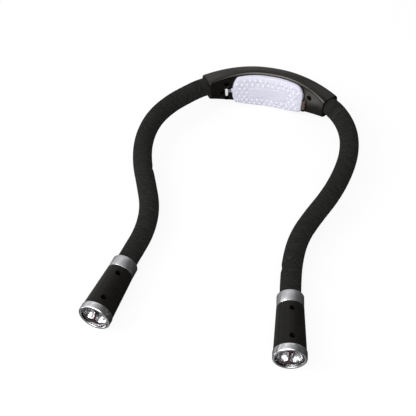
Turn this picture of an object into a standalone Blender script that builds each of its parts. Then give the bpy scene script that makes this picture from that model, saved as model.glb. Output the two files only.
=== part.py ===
# Neck reading light: a crescent neckpiece with a gel pad, and two bendable arms with lamp heads.
# Units are metres, +Z is up, +X is the wearer's right in the view from the front, and the arms run to -Y.
# The origin is on the flat underside of the neckpiece, at the middle of its arc.
import math

import bmesh
import bpy
from mathutils import Matrix, Vector

MM = 0.001

# General clearances and facet counts
GAP = 0.3 * MM
OVERRUN = 3.0 * MM
MERGE = 0.01 * MM
TURNED_STEPS = 26
SMALL_STEPS = 12
CELL_STEPS = 20
LENS_STEPS = 28
LED_BOARD_STEPS = 24
LED_ROWS = 8
FILLET_STEPS = 3
SHARP_ANGLE = math.radians(30)
TUBE_SHARP_ANGLE = math.radians(50)
QUARTER_TURN = math.radians(90)

# Neckpiece: its section follows an arc and is swept from the middle to both ends
ARC_RADIUS = 97.0 * MM
END_ROOM = 22.3 * MM
STATIONS = 18
NECK_DEPTH = 21.6 * MM
CELL_HEADROOM = 6.7 * MM
RIDGE_LEAN = 5.0 * MM
BACK_LEAN = 2.2 * MM
BACK_DROP = 3.0 * MM
FACE_CROWN = 0.8 * MM
FOOT_FILLET = 4.0 * MM
RIDGE_FILLET = 1.6 * MM
BACK_TOP_FILLET = 6.5 * MM
BACK_FOOT_FILLET = 5.0 * MM
COLLAR_DEPTH = 20.2 * MM
COLLAR_HEIGHT = 19.4 * MM
COLLAR_LEAN = 1.2 * MM
COLLAR_DROP = 0.8 * MM
COLLAR_FILLET = 5.0 * MM
AXIS_RISE = 2.0 * MM
FLAT_SHARE = 0.18
RISE_POWER = 1.6
SHELL_WALL = 1.5 * MM
FACE_WALL = 2.6 * MM
FACE_ROWS = 6
FACE_SHARES = (0.25, 0.5, 0.75)
PARTING_DEPTH = 4.2 * MM
PARTING_SPREAD = math.radians(1)
END_WALL = 2.4 * MM

# Foam sleeve, gooseneck core and the arm's route
SLEEVE_RADIUS = 8.5 * MM
CORE_RADIUS = 4.0 * MM
SLEEVE_SEAT = 3.6 * MM
ROUTE_STEP = 1.0 * MM
TUBE_STEP = 8.0 * MM
FLEX_LENGTH = 14.0 * MM
UPPER_LENGTH = 44.0 * MM
MIDDLE_LENGTH = 48.0 * MM
# The left arm stands 4 mm further out of its seat
FORE_LENGTHS = {"left": 88.0 * MM, "right": 84.0 * MM}
SLEEVE_BEVEL_STEPS = 5
CORE_BEVEL_STEPS = 3
# Heading along each arm in degrees outwards from straight ahead, at shares of the arm's length
HEADING_SHARES = (0.0, 0.06, 0.13, 0.22, 0.33, 0.45, 0.57, 0.68, 0.79, 0.90, 1.0)
HEADINGS = {
    "left": (52, 40, 37, 24, 4, -13, -25, -23, -6, 9, 8),
    "right": (52, 38, 25, 9, -5, -14, -22, -18, -2, 7, 10),
}
HEAD_ROLL = {"left": math.radians(14), "right": math.radians(5)}
SIDES = {"left": -1, "right": 1}

# Lamp head, along its own axis from the rear of the ring collar
RING_LENGTH = 10.5 * MM
RING_RADIUS = 10.8 * MM
RING_SEAT = 3.0 * MM
RING_WEB = 2.0 * MM
WIRE_HOLE_RADIUS = 2.6 * MM
SPIGOT_LENGTH = 2.5 * MM
BARREL_LENGTH = 40.5 * MM
BARREL_REAR_RADIUS = 10.9 * MM
BARREL_FRONT_RADIUS = 12.7 * MM
BARREL_WALL = 1.4 * MM
BEZEL_LENGTH = 6.0 * MM
BEZEL_RADIUS = 13.2 * MM
BEZEL_LIP = 0.8 * MM
BEZEL_OPENING = 10.2 * MM
BEZEL_SPIGOT_LENGTH = 3.5 * MM
BEZEL_SPIGOT_WALL = 1.1 * MM
EDGE_CHAMFER = 0.5 * MM
LENS_RADIUS = 10.9 * MM
LENS_THICKNESS = 1.4 * MM
REFLECTOR_FLANGE = 0.6 * MM
REFLECTOR_DEPTH = 5.0 * MM
CUP_RADIUS = 4.6 * MM
CUP_WEB = 0.5 * MM
CUP_HOLE_RADIUS = 1.9 * MM
CUP_HOLE_DEPTH = 0.6 * MM
CUP_STEPS = 14
CUP_ROWS = 4
LED_BOARD_THICKNESS = 1.6 * MM
LED_RADIUS = 1.3 * MM
REAR_BOSS_CLEARANCE = 1.2 * MM
FRONT_BOSS_CLEARANCE = 0.5 * MM
SCREW_RECESS_RADIUS = 2.2 * MM
SCREW_HEAD_RADIUS = 1.9 * MM
SCREW_HEAD_HEIGHT = 1.2 * MM
SCREW_SHANK_RADIUS = 1.0 * MM
SCREW_SHANK_LENGTH = 9.0 * MM
BOSS_WALL = 1.1 * MM
BOSS_FLOOR = 1.5 * MM
BOSS_TOP = 3.0 * MM

# Battery door, its hinge and the neck pad
DOOR_LEFT_LAP = 9.6 * MM
DOOR_RIGHT_LAP = 6.9 * MM
DOOR_RISE = 2.3 * MM
DOOR_TOP_MARGIN = 5.0 * MM
DOOR_THICKNESS = 1.3 * MM
DOOR_CORNER = 3.0 * MM
DOOR_REGION_MARGIN = 6.0 * MM
DOOR_REGION_STATIONS = 12
DOOR_TAB_REACH = 1.9 * MM
DOOR_TAB_LENGTH = 3.6 * MM
DOOR_TAB_HEIGHT = 4.4 * MM
CONTACT_ROOM = 3.75 * MM
BAY_LEDGE = 1.0 * MM
BAY_DEPTH = 12.0 * MM
HINGE_MARGIN = 1.74 * MM
HINGE_DROP = 5.0 * MM
HINGE_STANDOFF = 0.9 * MM
HINGE_ARM_REACH = 2.3 * MM
KNUCKLE_RADIUS = 1.7 * MM
DOOR_KNUCKLE_LENGTH = 6.0 * MM
CASE_KNUCKLE_LENGTH = 3.0 * MM
PIN_RADIUS = 0.7 * MM
PIN_STEPS = 10
KNUCKLE_CLEARANCE = 0.6 * MM
PAD_LEFT_MARGIN = 2.1 * MM
PAD_RIGHT_MARGIN = 0.9 * MM
PAD_FOOT_MARGIN = 1.8 * MM
PAD_TOP_MARGIN = 2.9 * MM
PAD_THICKNESS = 4.6 * MM
PAD_RIM = 1.4 * MM
PAD_CORNER = 8.0 * MM
PAD_STATIONS = 18
PAD_ROWS = 8
PAD_POWER = 3.2

# Sliding latch left of the pad: a T-shaped tab in a pocket, its foot behind the wall, and a coil spring
LATCH_MARGIN = 4.45 * MM
LATCH_DROP = 1.8 * MM
LATCH_TRAVEL = 3.2 * MM
LATCH_BAR_WIDTH = 3.4 * MM
LATCH_BAR_HEIGHT = 7.4 * MM
LATCH_PROUD = 1.4 * MM
LATCH_TONGUE_HEIGHT = 3.2 * MM
LATCH_TONGUE_LENGTH = 3.2 * MM
LATCH_STEM_WIDTH = 2.4 * MM
LATCH_STEM_HEIGHT = 3.0 * MM
LATCH_FOOT_WIDTH = 5.0 * MM
LATCH_FOOT_HEIGHT = 6.0 * MM
LATCH_FOOT_THICKNESS = 1.7 * MM
POCKET_DEPTH = 1.3 * MM
POCKET_MARGIN = 0.5 * MM
SPRING_RADIUS = 1.1 * MM
SPRING_WIRE_RADIUS = 0.2 * MM
SPRING_TURNS = 5
SPRING_POINTS_PER_TURN = 8
SPRING_BEVEL_STEPS = 1
SPRING_SOLID_LENGTH = 1.8 * MM
RIB_THICKNESS = 1.0 * MM
RIB_DEPTH = 4.8 * MM

# Housing screws: how far along the face they stand from the latch or the hinge, and above or below it
LEFT_SCREW_SHIFT = 1.0 * MM
UPPER_SCREW_RISE = 8.4 * MM
LOWER_SCREW_DROP = 7.4 * MM
RIGHT_SCREW_SHIFT = 4.0 * MM
RIGHT_SCREW_RISE = 11.0 * MM
HOUSING_BOSS_RADIUS = 2.8 * MM
HOUSING_BOSS_DEPTH = 3.8 * MM
HOUSING_POST_RADIUS = 2.3 * MM
HOUSING_POST_START = 4.7 * MM
HOUSING_BORE_DEPTH = 8.6 * MM

# Cells, contacts, circuit board, switches, buttons and arm anchors
CELL_RADIUS = 5.2 * MM
CELL_LENGTH = 44.5 * MM
CELL_CHAMFER = 0.6 * MM
CELL_NUB_RADIUS = 1.9 * MM
CELL_NUB_LENGTH = 0.8 * MM
CONTACT_THICKNESS = 0.5 * MM
CONTACT_BUMP_RADIUS = 2.6 * MM
CONTACT_BUMP_LENGTH = 1.2 * MM
CONTACT_WIDTH = 8.4 * MM
BOARD_END_ROOM = 14.6 * MM
BOARD_INNER = 4.6 * MM
BOARD_OUTER = 6.4 * MM
BOARD_BOTTOM = 6.9 * MM
BOARD_THICKNESS = 1.0 * MM
BOARD_STATIONS = 12
BOARD_POST_RADIUS = 1.5 * MM
BOARD_POST_PLACE = 15.2 * MM
BUTTON_END_ROOM = 10.4 * MM
BUTTON_DROP = 4.0 * MM
BUTTON_RADIUS = 3.2 * MM
BUTTON_PROUD = 0.9 * MM
BUTTON_TRAVEL = 0.8 * MM
BUTTON_FLANGE = 1.0 * MM
BUTTON_FLANGE_THICKNESS = 0.8 * MM
BUTTON_WALL_GAP = 0.5 * MM
SWITCH_WIDTH = 6.0 * MM
SWITCH_DEPTH = 3.4 * MM
SWITCH_HEADROOM = 2.4 * MM
PLUNGER_RADIUS = 1.5 * MM
PLUNGER_LENGTH = 1.0 * MM
ANCHOR_RADIUS = 5.3 * MM
ANCHOR_FLANGE = 2.0 * MM
ANCHOR_GAP = 0.7 * MM
ANCHOR_BORE = 1.6 * MM

# Colours with alpha, roughness and metallic value of each finish
FINISHES = {
    "housing_plastic": ((0.016, 0.015, 0.014, 1.0), 0.18, 0.0),
    "foam": ((0.022, 0.022, 0.021, 1.0), 0.9, 0.0),
    "gel": ((0.76, 0.75, 0.87, 1.0), 0.35, 0.0),
    "barrel_plastic": ((0.013, 0.012, 0.012, 1.0), 0.3, 0.0),
    "satin_aluminium": ((0.62, 0.62, 0.64, 1.0), 0.32, 1.0),
    "polished_aluminium": ((0.78, 0.78, 0.8, 1.0), 0.12, 1.0),
    "chrome": ((0.85, 0.85, 0.87, 1.0), 0.05, 1.0),
    "clear_lens": ((0.95, 0.97, 0.98, 0.35), 0.05, 0.0),
    "steel": ((0.5, 0.5, 0.51, 1.0), 0.3, 1.0),
    "brass": ((0.7, 0.5, 0.22, 1.0), 0.3, 1.0),
    "board_green": ((0.03, 0.15, 0.07, 1.0), 0.5, 0.0),
    "black_plastic": ((0.02, 0.02, 0.02, 1.0), 0.45, 0.0),
    "cell_sleeve": ((0.35, 0.3, 0.12, 1.0), 0.35, 0.0),
}


def arc_place(distance):
    """The length along the inner face at a sideways distance from the middle."""
    return FACE_ARC_RADIUS * math.asin(distance / FACE_ARC_RADIUS)


# Places that follow from the sizes above
FACE_ARC_RADIUS = ARC_RADIUS - NECK_DEPTH / 2
CELL_FLOOR = BOARD_BOTTOM + BOARD_THICKNESS + GAP
NECK_HEIGHT = CELL_FLOOR + 4 * CELL_RADIUS + GAP + CELL_HEADROOM
AXIS_HEIGHT = NECK_HEIGHT / 2 + AXIS_RISE
BAY_HALF_WIDTH = CELL_LENGTH / 2 + CONTACT_ROOM
DOOR_LEFT = BAY_HALF_WIDTH + DOOR_LEFT_LAP
DOOR_RIGHT = BAY_HALF_WIDTH + DOOR_RIGHT_LAP
DOOR_BOTTOM = BOARD_BOTTOM + DOOR_RISE
DOOR_TOP = NECK_HEIGHT - DOOR_TOP_MARGIN
HINGE_PLACE = arc_place(DOOR_RIGHT) + HINGE_MARGIN
HINGE_HEIGHT = NECK_HEIGHT / 2 - HINGE_DROP
PAD_LEFT = arc_place(DOOR_LEFT) - PAD_LEFT_MARGIN
PAD_RIGHT = arc_place(DOOR_RIGHT) - PAD_RIGHT_MARGIN
LATCH_PLACE = arc_place(DOOR_LEFT) + LATCH_MARGIN
LATCH_HEIGHT = NECK_HEIGHT / 2 - LATCH_DROP
NECK_HALF_LENGTH = LATCH_PLACE + END_ROOM
HALF_ANGLE = NECK_HALF_LENGTH / ARC_RADIUS
HOUSING_SCREWS = {
    "housing_screw_right": (HINGE_PLACE + RIGHT_SCREW_SHIFT, HINGE_HEIGHT + RIGHT_SCREW_RISE),
    "housing_screw_upper": (LEFT_SCREW_SHIFT - LATCH_PLACE, LATCH_HEIGHT + UPPER_SCREW_RISE),
    "housing_screw_lower": (LEFT_SCREW_SHIFT - LATCH_PLACE, LATCH_HEIGHT - LOWER_SCREW_DROP),
}
BOARD_HALF_ANGLE = (BAY_HALF_WIDTH + BOARD_END_ROOM) / ARC_RADIUS
BOARD_POST_ANGLE = BOARD_POST_PLACE / ARC_RADIUS
BUTTON_ANGLE = (BAY_HALF_WIDTH + BUTTON_END_ROOM) / ARC_RADIUS
BUTTON_HEIGHT = NECK_HEIGHT / 2 - BUTTON_DROP
ARM_LENGTHS = {
    side: 4 * FLEX_LENGTH + UPPER_LENGTH + MIDDLE_LENGTH + fore for side, fore in FORE_LENGTHS.items()
}
HEAD_HEIGHT = BEZEL_RADIUS
BARREL_REAR = RING_LENGTH + GAP
BARREL_END = RING_LENGTH + BARREL_LENGTH - GAP
BEZEL_REAR = RING_LENGTH + BARREL_LENGTH
HEAD_END = BEZEL_REAR + BEZEL_LENGTH
SLEEVE_HOLE = SLEEVE_RADIUS + GAP


def clear_scene():
    for item in list(bpy.data.objects):
        bpy.data.objects.remove(item, do_unlink=True)


def new_collection(name):
    collection = bpy.data.collections.new(name)
    bpy.context.scene.collection.children.link(collection)
    return collection


def finish_material(name):
    """The Principled material of one finish, made once."""
    material = bpy.data.materials.get(name)
    if material is None:
        colour, roughness, metallic = FINISHES[name]
        material = bpy.data.materials.new(name)
        material.use_nodes = True
        shader = material.node_tree.nodes["Principled BSDF"]
        shader.inputs["Base Color"].default_value = colour
        shader.inputs["Roughness"].default_value = roughness
        shader.inputs["Metallic"].default_value = metallic
        shader.inputs["Alpha"].default_value = colour[3]
        material.diffuse_color = colour
    return material


def object_from_bmesh(name, bm, finish=None):
    """A finish puts the object in the part's collection; without one it is a hidden cutter."""
    bmesh.ops.recalc_face_normals(bm, faces=bm.faces)
    mesh = bpy.data.meshes.new(name)
    bm.to_mesh(mesh)
    bm.free()
    item = bpy.data.objects.new(name, mesh)
    if finish is None:
        CUTTERS.objects.link(item)
        item.hide_render = True
        item.display_type = "WIRE"
    else:
        PARTS.objects.link(item)
        mesh.materials.append(finish_material(finish))
    return item


def loft(name, rings, finish=None):
    """A closed solid through rings of as many points each, with a flat cap at both ends."""
    bm = bmesh.new()
    rows = [[bm.verts.new(point) for point in ring] for ring in rings]
    count = len(rows[0])
    for near, far in zip(rows, rows[1:]):
        for i in range(count):
            j = (i + 1) % count
            bm.faces.new((near[i], near[j], far[j], far[i]))
    bm.faces.new(rows[0])
    bm.faces.new(rows[-1])
    return object_from_bmesh(name, bm, finish)


def block(name, low, high, matrix=None, finish=None):
    """A box between two corners of a local frame."""
    low, high = Vector(low), Vector(high)
    bm = bmesh.new()
    bmesh.ops.create_cube(bm, size=1.0)
    bmesh.ops.scale(bm, vec=high - low, verts=bm.verts)
    bmesh.ops.translate(bm, vec=(low + high) / 2, verts=bm.verts)
    if matrix is not None:
        bmesh.ops.transform(bm, matrix=matrix, verts=bm.verts)
    return object_from_bmesh(name, bm, finish)


def rod(name, start, end, radius, steps=SMALL_STEPS, finish=None):
    """A plain cylinder between two points."""
    start, end = Vector(start), Vector(end)
    axis = end - start
    bm = bmesh.new()
    bmesh.ops.create_cone(
        bm, cap_ends=True, segments=steps, radius1=radius, radius2=radius, depth=axis.length
    )
    turn = axis.to_track_quat("Z", "Y").to_matrix().to_4x4()
    bmesh.ops.transform(bm, matrix=Matrix.Translation((start + end) / 2) @ turn, verts=bm.verts)
    return object_from_bmesh(name, bm, finish)


def turned(name, profile, matrix, steps=TURNED_STEPS, finish=None):
    """A closed profile of (radius, height) turned about the local Z axis with a Screw modifier.

    The profile runs down its outer side. Where it meets the axis its two ends are left open.
    """
    bm = bmesh.new()
    points = [bm.verts.new((radius, 0.0, height)) for radius, height in profile]
    for near, far in zip(points, points[1:]):
        bm.edges.new((near, far))
    if profile[0][0] > 0 and profile[-1][0] > 0:
        bm.edges.new((points[-1], points[0]))
    mesh = bpy.data.meshes.new(name)
    bm.to_mesh(mesh)
    bm.free()
    guide = bpy.data.objects.new(name + "_profile", mesh)
    CUTTERS.objects.link(guide)
    screw = guide.modifiers.new("turn", "SCREW")
    screw.axis = "Z"
    screw.steps = screw.render_steps = steps
    screw.use_merge_vertices = True
    screw.merge_threshold = MERGE
    made = plain_mesh(guide, name)
    made.transform(matrix)
    item = bpy.data.objects.new(name, made)
    made.shade_smooth()
    made.set_sharp_from_angle(angle=SHARP_ANGLE)
    if finish is None:
        CUTTERS.objects.link(item)
        item.hide_render = True
        item.display_type = "WIRE"
    else:
        PARTS.objects.link(item)
        made.materials.append(finish_material(finish))
    return item


def plain_mesh(item, name):
    """The evaluated mesh of an object whose modifiers or curve are done with; the object is removed."""
    graph = bpy.context.evaluated_depsgraph_get()
    graph.update()
    made = bpy.data.meshes.new_from_object(item.evaluated_get(graph))
    made.name = name
    bm = bmesh.new()
    bm.from_mesh(made)
    bmesh.ops.remove_doubles(bm, verts=bm.verts, dist=MERGE)
    bmesh.ops.recalc_face_normals(bm, faces=bm.faces)
    bm.to_mesh(made)
    bm.free()
    bpy.data.objects.remove(item, do_unlink=True)
    return made


def tube(name, points, radius, bevel, finish=None):
    """A round tube along a POLY spline, made a plain mesh so that it can be cut."""
    curve = bpy.data.curves.new(name, "CURVE")
    curve.dimensions = "3D"
    curve.bevel_depth = radius
    curve.bevel_resolution = bevel
    curve.use_fill_caps = True
    spline = curve.splines.new("POLY")
    spline.points.add(len(points) - 1)
    for place, point in zip(spline.points, points):
        place.co = (*point, 1.0)
    item = bpy.data.objects.new(name + "_route", curve)
    CUTTERS.objects.link(item)
    made = plain_mesh(item, name)
    result = bpy.data.objects.new(name, made)
    made.shade_smooth()
    made.set_sharp_from_angle(angle=TUBE_SHARP_ANGLE)
    if finish is None:
        CUTTERS.objects.link(result)
        result.hide_render = True
        result.display_type = "WIRE"
    else:
        PARTS.objects.link(result)
        made.materials.append(finish_material(finish))
    return result


def combine(item, other, operation):
    """A Boolean modifier of one object with another."""
    cut = item.modifiers.new(operation.lower(), "BOOLEAN")
    cut.operation = operation
    cut.solver = "EXACT"
    cut.object = other


def cut(item, *cutters):
    for cutter in cutters:
        combine(item, cutter, "DIFFERENCE")


def add(item, *others):
    for other in others:
        combine(item, other, "UNION")


def keep(item, region):
    combine(item, region, "INTERSECT")


def smooth(share):
    return share * share * (3 - 2 * share)


def blend(near, far, share):
    return near + (far - near) * share


def on_arc(angle, offset, height):
    """A point at an angle of the arc, at an offset outwards from its mean line and a height."""
    radius = ARC_RADIUS + offset
    return Vector((radius * math.sin(angle), radius * math.cos(angle) - ARC_RADIUS, height))


def rise(angle):
    """How far the section has gone from its middle shape to its collar shape, from 0 to 1."""
    share = abs(angle) / HALF_ANGLE
    return min(1.0, max(0.0, (share - FLAT_SHARE) / (1 - FLAT_SHARE))) ** RISE_POWER


def section_corners(angle):
    """Corners of the section as (offset, height) with fillet: face foot, ridge, back top, back foot."""
    share = rise(angle)
    bottom = AXIS_HEIGHT - COLLAR_HEIGHT / 2
    top = AXIS_HEIGHT + COLLAR_HEIGHT / 2
    middle = (
        (-NECK_DEPTH / 2, 0.0, FOOT_FILLET),
        (-NECK_DEPTH / 2 + RIDGE_LEAN, NECK_HEIGHT, RIDGE_FILLET),
        (NECK_DEPTH / 2 - BACK_LEAN, NECK_HEIGHT - BACK_DROP, BACK_TOP_FILLET),
        (NECK_DEPTH / 2, 0.0, BACK_FOOT_FILLET),
    )
    collar = (
        (-COLLAR_DEPTH / 2, bottom, FOOT_FILLET),
        (-COLLAR_DEPTH / 2 + COLLAR_LEAN, top, RIDGE_FILLET),
        (COLLAR_DEPTH / 2 - COLLAR_DROP, top - COLLAR_DROP, COLLAR_FILLET),
        (COLLAR_DEPTH / 2, bottom, COLLAR_FILLET),
    )
    return [tuple(blend(a, b, share) for a, b in zip(near, far)) for near, far in zip(middle, collar)]


def crossing(point, along, other, towards):
    """Where two lines of a plane cross, each given by a point and a direction."""
    turn = along[0] * towards[1] - along[1] * towards[0]
    reach = ((other[0] - point[0]) * towards[1] - (other[1] - point[1]) * towards[0]) / turn
    return (point[0] + along[0] * reach, point[1] + along[1] * reach)


def inset_corners(corners, insets):
    """Corners moved in from each edge by that edge's inset; edge i leaves corner i."""
    count = len(corners)
    lines = []
    for i in range(count):
        a, b = corners[i], corners[(i + 1) % count]
        run = math.hypot(b[0] - a[0], b[1] - a[1])
        along = ((b[0] - a[0]) / run, (b[1] - a[1]) / run)
        inward = (along[1], -along[0])
        lines.append(((a[0] + inward[0] * insets[i], a[1] + inward[1] * insets[i]), along))
    moved = []
    for i in range(count):
        place = crossing(*lines[i - 1], *lines[i])
        fillet = max(corners[i][2] - max(insets[i - 1], insets[i]), GAP)
        moved.append((*place, fillet))
    return moved


def rounded_outline(corners, steps=FILLET_STEPS):
    """Points round a polygon of (u, v, fillet) corners, with an arc at each corner."""
    points = []
    count = len(corners)
    for i in range(count):
        before, here, after = (Vector(corners[k][:2]) for k in (i - 1, i, (i + 1) % count))
        back = (before - here).normalized()
        ahead = (after - here).normalized()
        half = back.angle(ahead) / 2
        fillet = corners[i][2]
        centre = here + (back + ahead).normalized() * (fillet / math.sin(half))
        first = here + back * (fillet / math.tan(half)) - centre
        last = here + ahead * (fillet / math.tan(half)) - centre
        sweep = first.angle_signed(last)
        for k in range(steps + 1):
            turn = -sweep * k / steps
            points.append(
                centre
                + Vector(
                    (
                        first.x * math.cos(turn) - first.y * math.sin(turn),
                        first.x * math.sin(turn) + first.y * math.cos(turn),
                    )
                )
            )
    return points


def section_ring(angle, insets=(0.0, 0.0, 0.0, 0.0)):
    """The section's points in space. The face between foot and ridge is crowned towards the neck."""
    outline = rounded_outline(inset_corners(section_corners(angle), insets))
    foot, ridge = outline[FILLET_STEPS], outline[FILLET_STEPS + 1]
    face = []
    for share in FACE_SHARES:
        place = foot.lerp(ridge, share)
        place.x -= 4 * FACE_CROWN * share * (1 - share)
        face.append(place)
    outline[FILLET_STEPS + 1 : FILLET_STEPS + 1] = face
    return [on_arc(angle, point.x, point.y) for point in outline]


def arc_angles(half, count):
    return [half * (2 * i / count - 1) for i in range(count + 1)]


def neck_loft(name, insets=(0.0, 0.0, 0.0, 0.0), half=HALF_ANGLE, finish=None):
    rings = [section_ring(angle, insets) for angle in arc_angles(half, STATIONS)]
    return loft(name, rings, finish)


def face_offset(angle, height):
    """Offset of the crowned inner face at a height."""
    foot, ridge = section_corners(angle)[:2]
    share = (height - foot[1]) / (ridge[1] - foot[1])
    share_in = min(1.0, max(0.0, share))
    return blend(foot[0], ridge[0], share) - 4 * FACE_CROWN * share_in * (1 - share_in)


def back_offset(angle, height):
    """Offset of the back face at a height."""
    _, _, top, foot = section_corners(angle)
    return blend(foot[0], top[0], (height - foot[1]) / (top[1] - foot[1]))


def face_frame(place, height):
    """A frame on the inner face: X along the arc, Y up the face, Z out towards the neck."""
    angle = place / FACE_ARC_RADIUS
    origin = on_arc(angle, face_offset(angle, height), height)
    above = on_arc(angle, face_offset(angle, height + OVERRUN), height + OVERRUN)
    along = Vector((math.cos(angle), -math.sin(angle), 0.0))
    up = (above - origin).normalized()
    out = along.cross(up)
    frame = Matrix((along, up, out)).transposed().to_4x4()
    return Matrix.Translation(origin) @ frame


def prism(name, left, right, bottom, top, front, back, corner):
    """A cutter with a rounded outline in the XZ plane, run along Y."""
    corners = [(left, bottom, corner), (left, top, corner), (right, top, corner), (right, bottom, corner)]
    outline = rounded_outline(corners)
    rings = [[Vector((point.x, y, point.y)) for point in outline] for y in (front, back)]
    return loft(name, rings)


def parting_region(name, shift):
    """Everything on the neck's side of the parting surface, which runs behind the inner face."""
    rings = []
    for angle in arc_angles(HALF_ANGLE + PARTING_SPREAD, STATIONS):
        foot, ridge = section_corners(angle)[:2]
        lean = (ridge[0] - foot[0]) / (ridge[1] - foot[1])
        low = foot[1] - OVERRUN
        high = ridge[1] + OVERRUN
        near = -NECK_DEPTH
        depth = PARTING_DEPTH + shift
        rings.append(
            [
                on_arc(angle, near, low),
                on_arc(angle, near, high),
                on_arc(angle, ridge[0] + lean * OVERRUN + depth, high),
                on_arc(angle, foot[0] - lean * OVERRUN + depth, low),
            ]
        )
    return loft(name, rings)


def end_frame(side):
    """A frame at a collar's end face: Z runs out of the housing along the arc's tangent."""
    angle = HALF_ANGLE * SIDES[side]
    origin = on_arc(angle, 0.0, AXIS_HEIGHT)
    out = Vector((math.cos(angle), -math.sin(angle), 0.0)) * SIDES[side]
    up = Vector((0.0, 0.0, 1.0))
    across = up.cross(out)
    return Matrix.Translation(origin) @ Matrix((across, up, out)).transposed().to_4x4()


# Neckpiece shells


def neck_cavity_insets():
    return (FACE_WALL, SHELL_WALL, SHELL_WALL, SHELL_WALL)


def cavity_half_angle():
    return HALF_ANGLE - (SLEEVE_SEAT + END_WALL) / ARC_RADIUS


def collar_cutters(side):
    """The sleeve's seat in a collar and the hole for the anchor's neck behind it."""
    frame = end_frame(side)
    seat = rod(
        f"cut_{side}_seat", frame @ Vector((0, 0, -SLEEVE_SEAT)), frame @ Vector((0, 0, OVERRUN)),
        SLEEVE_HOLE, TURNED_STEPS,
    )
    hole = rod(
        f"cut_{side}_neck", frame @ Vector((0, 0, -SLEEVE_SEAT - END_WALL - OVERRUN)),
        frame @ Vector((0, 0, 0)), CORE_RADIUS + GAP, SMALL_STEPS,
    )
    return seat, hole


def screw_frame(name):
    return face_frame(*HOUSING_SCREWS[name])


def clipped(item, core):
    """Keeps an inner feature from reaching through the shell's outside."""
    keep(item, core)
    return item


def housing_post(name, core):
    """A post inside the outer shell, from the inner shell's boss to the back wall."""
    place, height = HOUSING_SCREWS[name]
    angle = place / FACE_ARC_RADIUS
    depth = back_offset(angle, height) - face_offset(angle, height)
    frame = screw_frame(name)
    start = frame @ Vector((0, 0, -HOUSING_POST_START))
    end = frame @ Vector((0, 0, SHELL_WALL / 2 - depth))
    return clipped(rod(f"post_{name}", start, end, HOUSING_POST_RADIUS), core)


def screw_bore(name):
    frame = screw_frame(name)
    start = frame @ Vector((0, 0, -HOUSING_BOSS_DEPTH - HOUSING_BORE_DEPTH))
    return rod(f"bore_{name}", start, frame @ Vector((0, 0, OVERRUN)), SCREW_SHANK_RADIUS + GAP)


def board_post(side):
    angle = BOARD_POST_ANGLE * SIDES[side]
    top = BOARD_BOTTOM - GAP
    return rod(
        f"post_board_{side}", on_arc(angle, 0.0, SHELL_WALL / 2), on_arc(angle, 0.0, top),
        BOARD_POST_RADIUS, SMALL_STEPS,
    )


def button_hole(side):
    angle = BUTTON_ANGLE * SIDES[side]
    back = back_offset(angle, BUTTON_HEIGHT)
    inside = back - SHELL_WALL - OVERRUN
    return rod(
        f"cut_{side}_button", on_arc(angle, inside, BUTTON_HEIGHT),
        on_arc(angle, back + OVERRUN, BUTTON_HEIGHT), BUTTON_RADIUS + GAP, SMALL_STEPS,
    )


def make_outer_shell(cavity, core, collars, bores):
    shell = neck_loft("outer_shell", finish="housing_plastic")
    cut(shell, cavity, parting_region("region_outer", GAP / 2))
    add(shell, *(housing_post(name, core) for name in HOUSING_SCREWS))
    add(shell, *(board_post(side) for side in SIDES))
    cut(shell, *collars, *bores, *(button_hole(side) for side in SIDES))
    return shell


def screw_seat(name):
    """The counterbore that hides a housing screw's head."""
    frame = screw_frame(name)
    floor = Vector((0, 0, -SCREW_HEAD_HEIGHT - GAP))
    return rod(f"seat_{name}", frame @ floor, frame @ Vector((0, 0, OVERRUN)), SCREW_RECESS_RADIUS)


def screw_boss(name, core):
    frame = screw_frame(name)
    near = frame @ Vector((0, 0, -FACE_WALL / 2))
    far = frame @ Vector((0, 0, -HOUSING_BOSS_DEPTH))
    return clipped(rod(f"boss_{name}", far, near, HOUSING_BOSS_RADIUS), core)


def door_prism(name, margin):
    return prism(
        name, -DOOR_LEFT - margin, DOOR_RIGHT + margin, DOOR_BOTTOM - margin, DOOR_TOP + margin,
        -ARC_RADIUS / 2, -NECK_DEPTH / 2 + BAY_DEPTH, DOOR_CORNER + margin,
    )


def face_slab(name, front, back):
    """A curved slab along the inner face, from in front of it to behind it."""
    rings = []
    heights = [blend(-OVERRUN, NECK_HEIGHT + OVERRUN, i / FACE_ROWS) for i in range(FACE_ROWS + 1)]
    reach = (arc_place(DOOR_LEFT) + DOOR_REGION_MARGIN) / FACE_ARC_RADIUS
    for angle in arc_angles(reach, DOOR_REGION_STATIONS):
        near = [on_arc(angle, face_offset(angle, height) - front, height) for height in heights]
        far = [on_arc(angle, face_offset(angle, height) + back, height) for height in heights[::-1]]
        rings.append(near + far)
    return loft(name, rings)


def door_region(name, margin, front, back):
    """A slab along the face inside the door's outline."""
    slab = face_slab(name, front, back)
    keep(slab, door_prism(name + "_outline", margin))
    return slab


def knuckle(name, low, high, radius, steps=SMALL_STEPS):
    frame = HINGE_FRAME
    start = frame @ Vector((0, low, HINGE_STANDOFF))
    return rod(name, start, frame @ Vector((0, high, HINGE_STANDOFF)), radius, steps)


def knuckle_spans():
    """The heights of the door's knuckle and of the case's two, along the pin."""
    door = DOOR_KNUCKLE_LENGTH / 2
    near = door + GAP
    far = near + CASE_KNUCKLE_LENGTH
    return (-door, door), ((near, far), (-far, -near))


def hinge_arm(name, margin):
    """The bridge from the door to its knuckle, or with a margin the room for it."""
    tall = DOOR_KNUCKLE_LENGTH / 2 - GAP / 2 + margin
    low = (-HINGE_ARM_REACH - margin, -tall, GAP - DOOR_THICKNESS - margin)
    return block(name, low, (0, tall, HINGE_STANDOFF - GAP / 2 + margin), HINGE_FRAME)


def hinge_clearance():
    """Room in the face for the door's knuckle to turn in."""
    reach = DOOR_KNUCKLE_LENGTH / 2 + GAP + GAP / 2
    radius = KNUCKLE_RADIUS + KNUCKLE_CLEARANCE
    return knuckle("cut_hinge_room", -reach, reach, radius, TURNED_STEPS)


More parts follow.
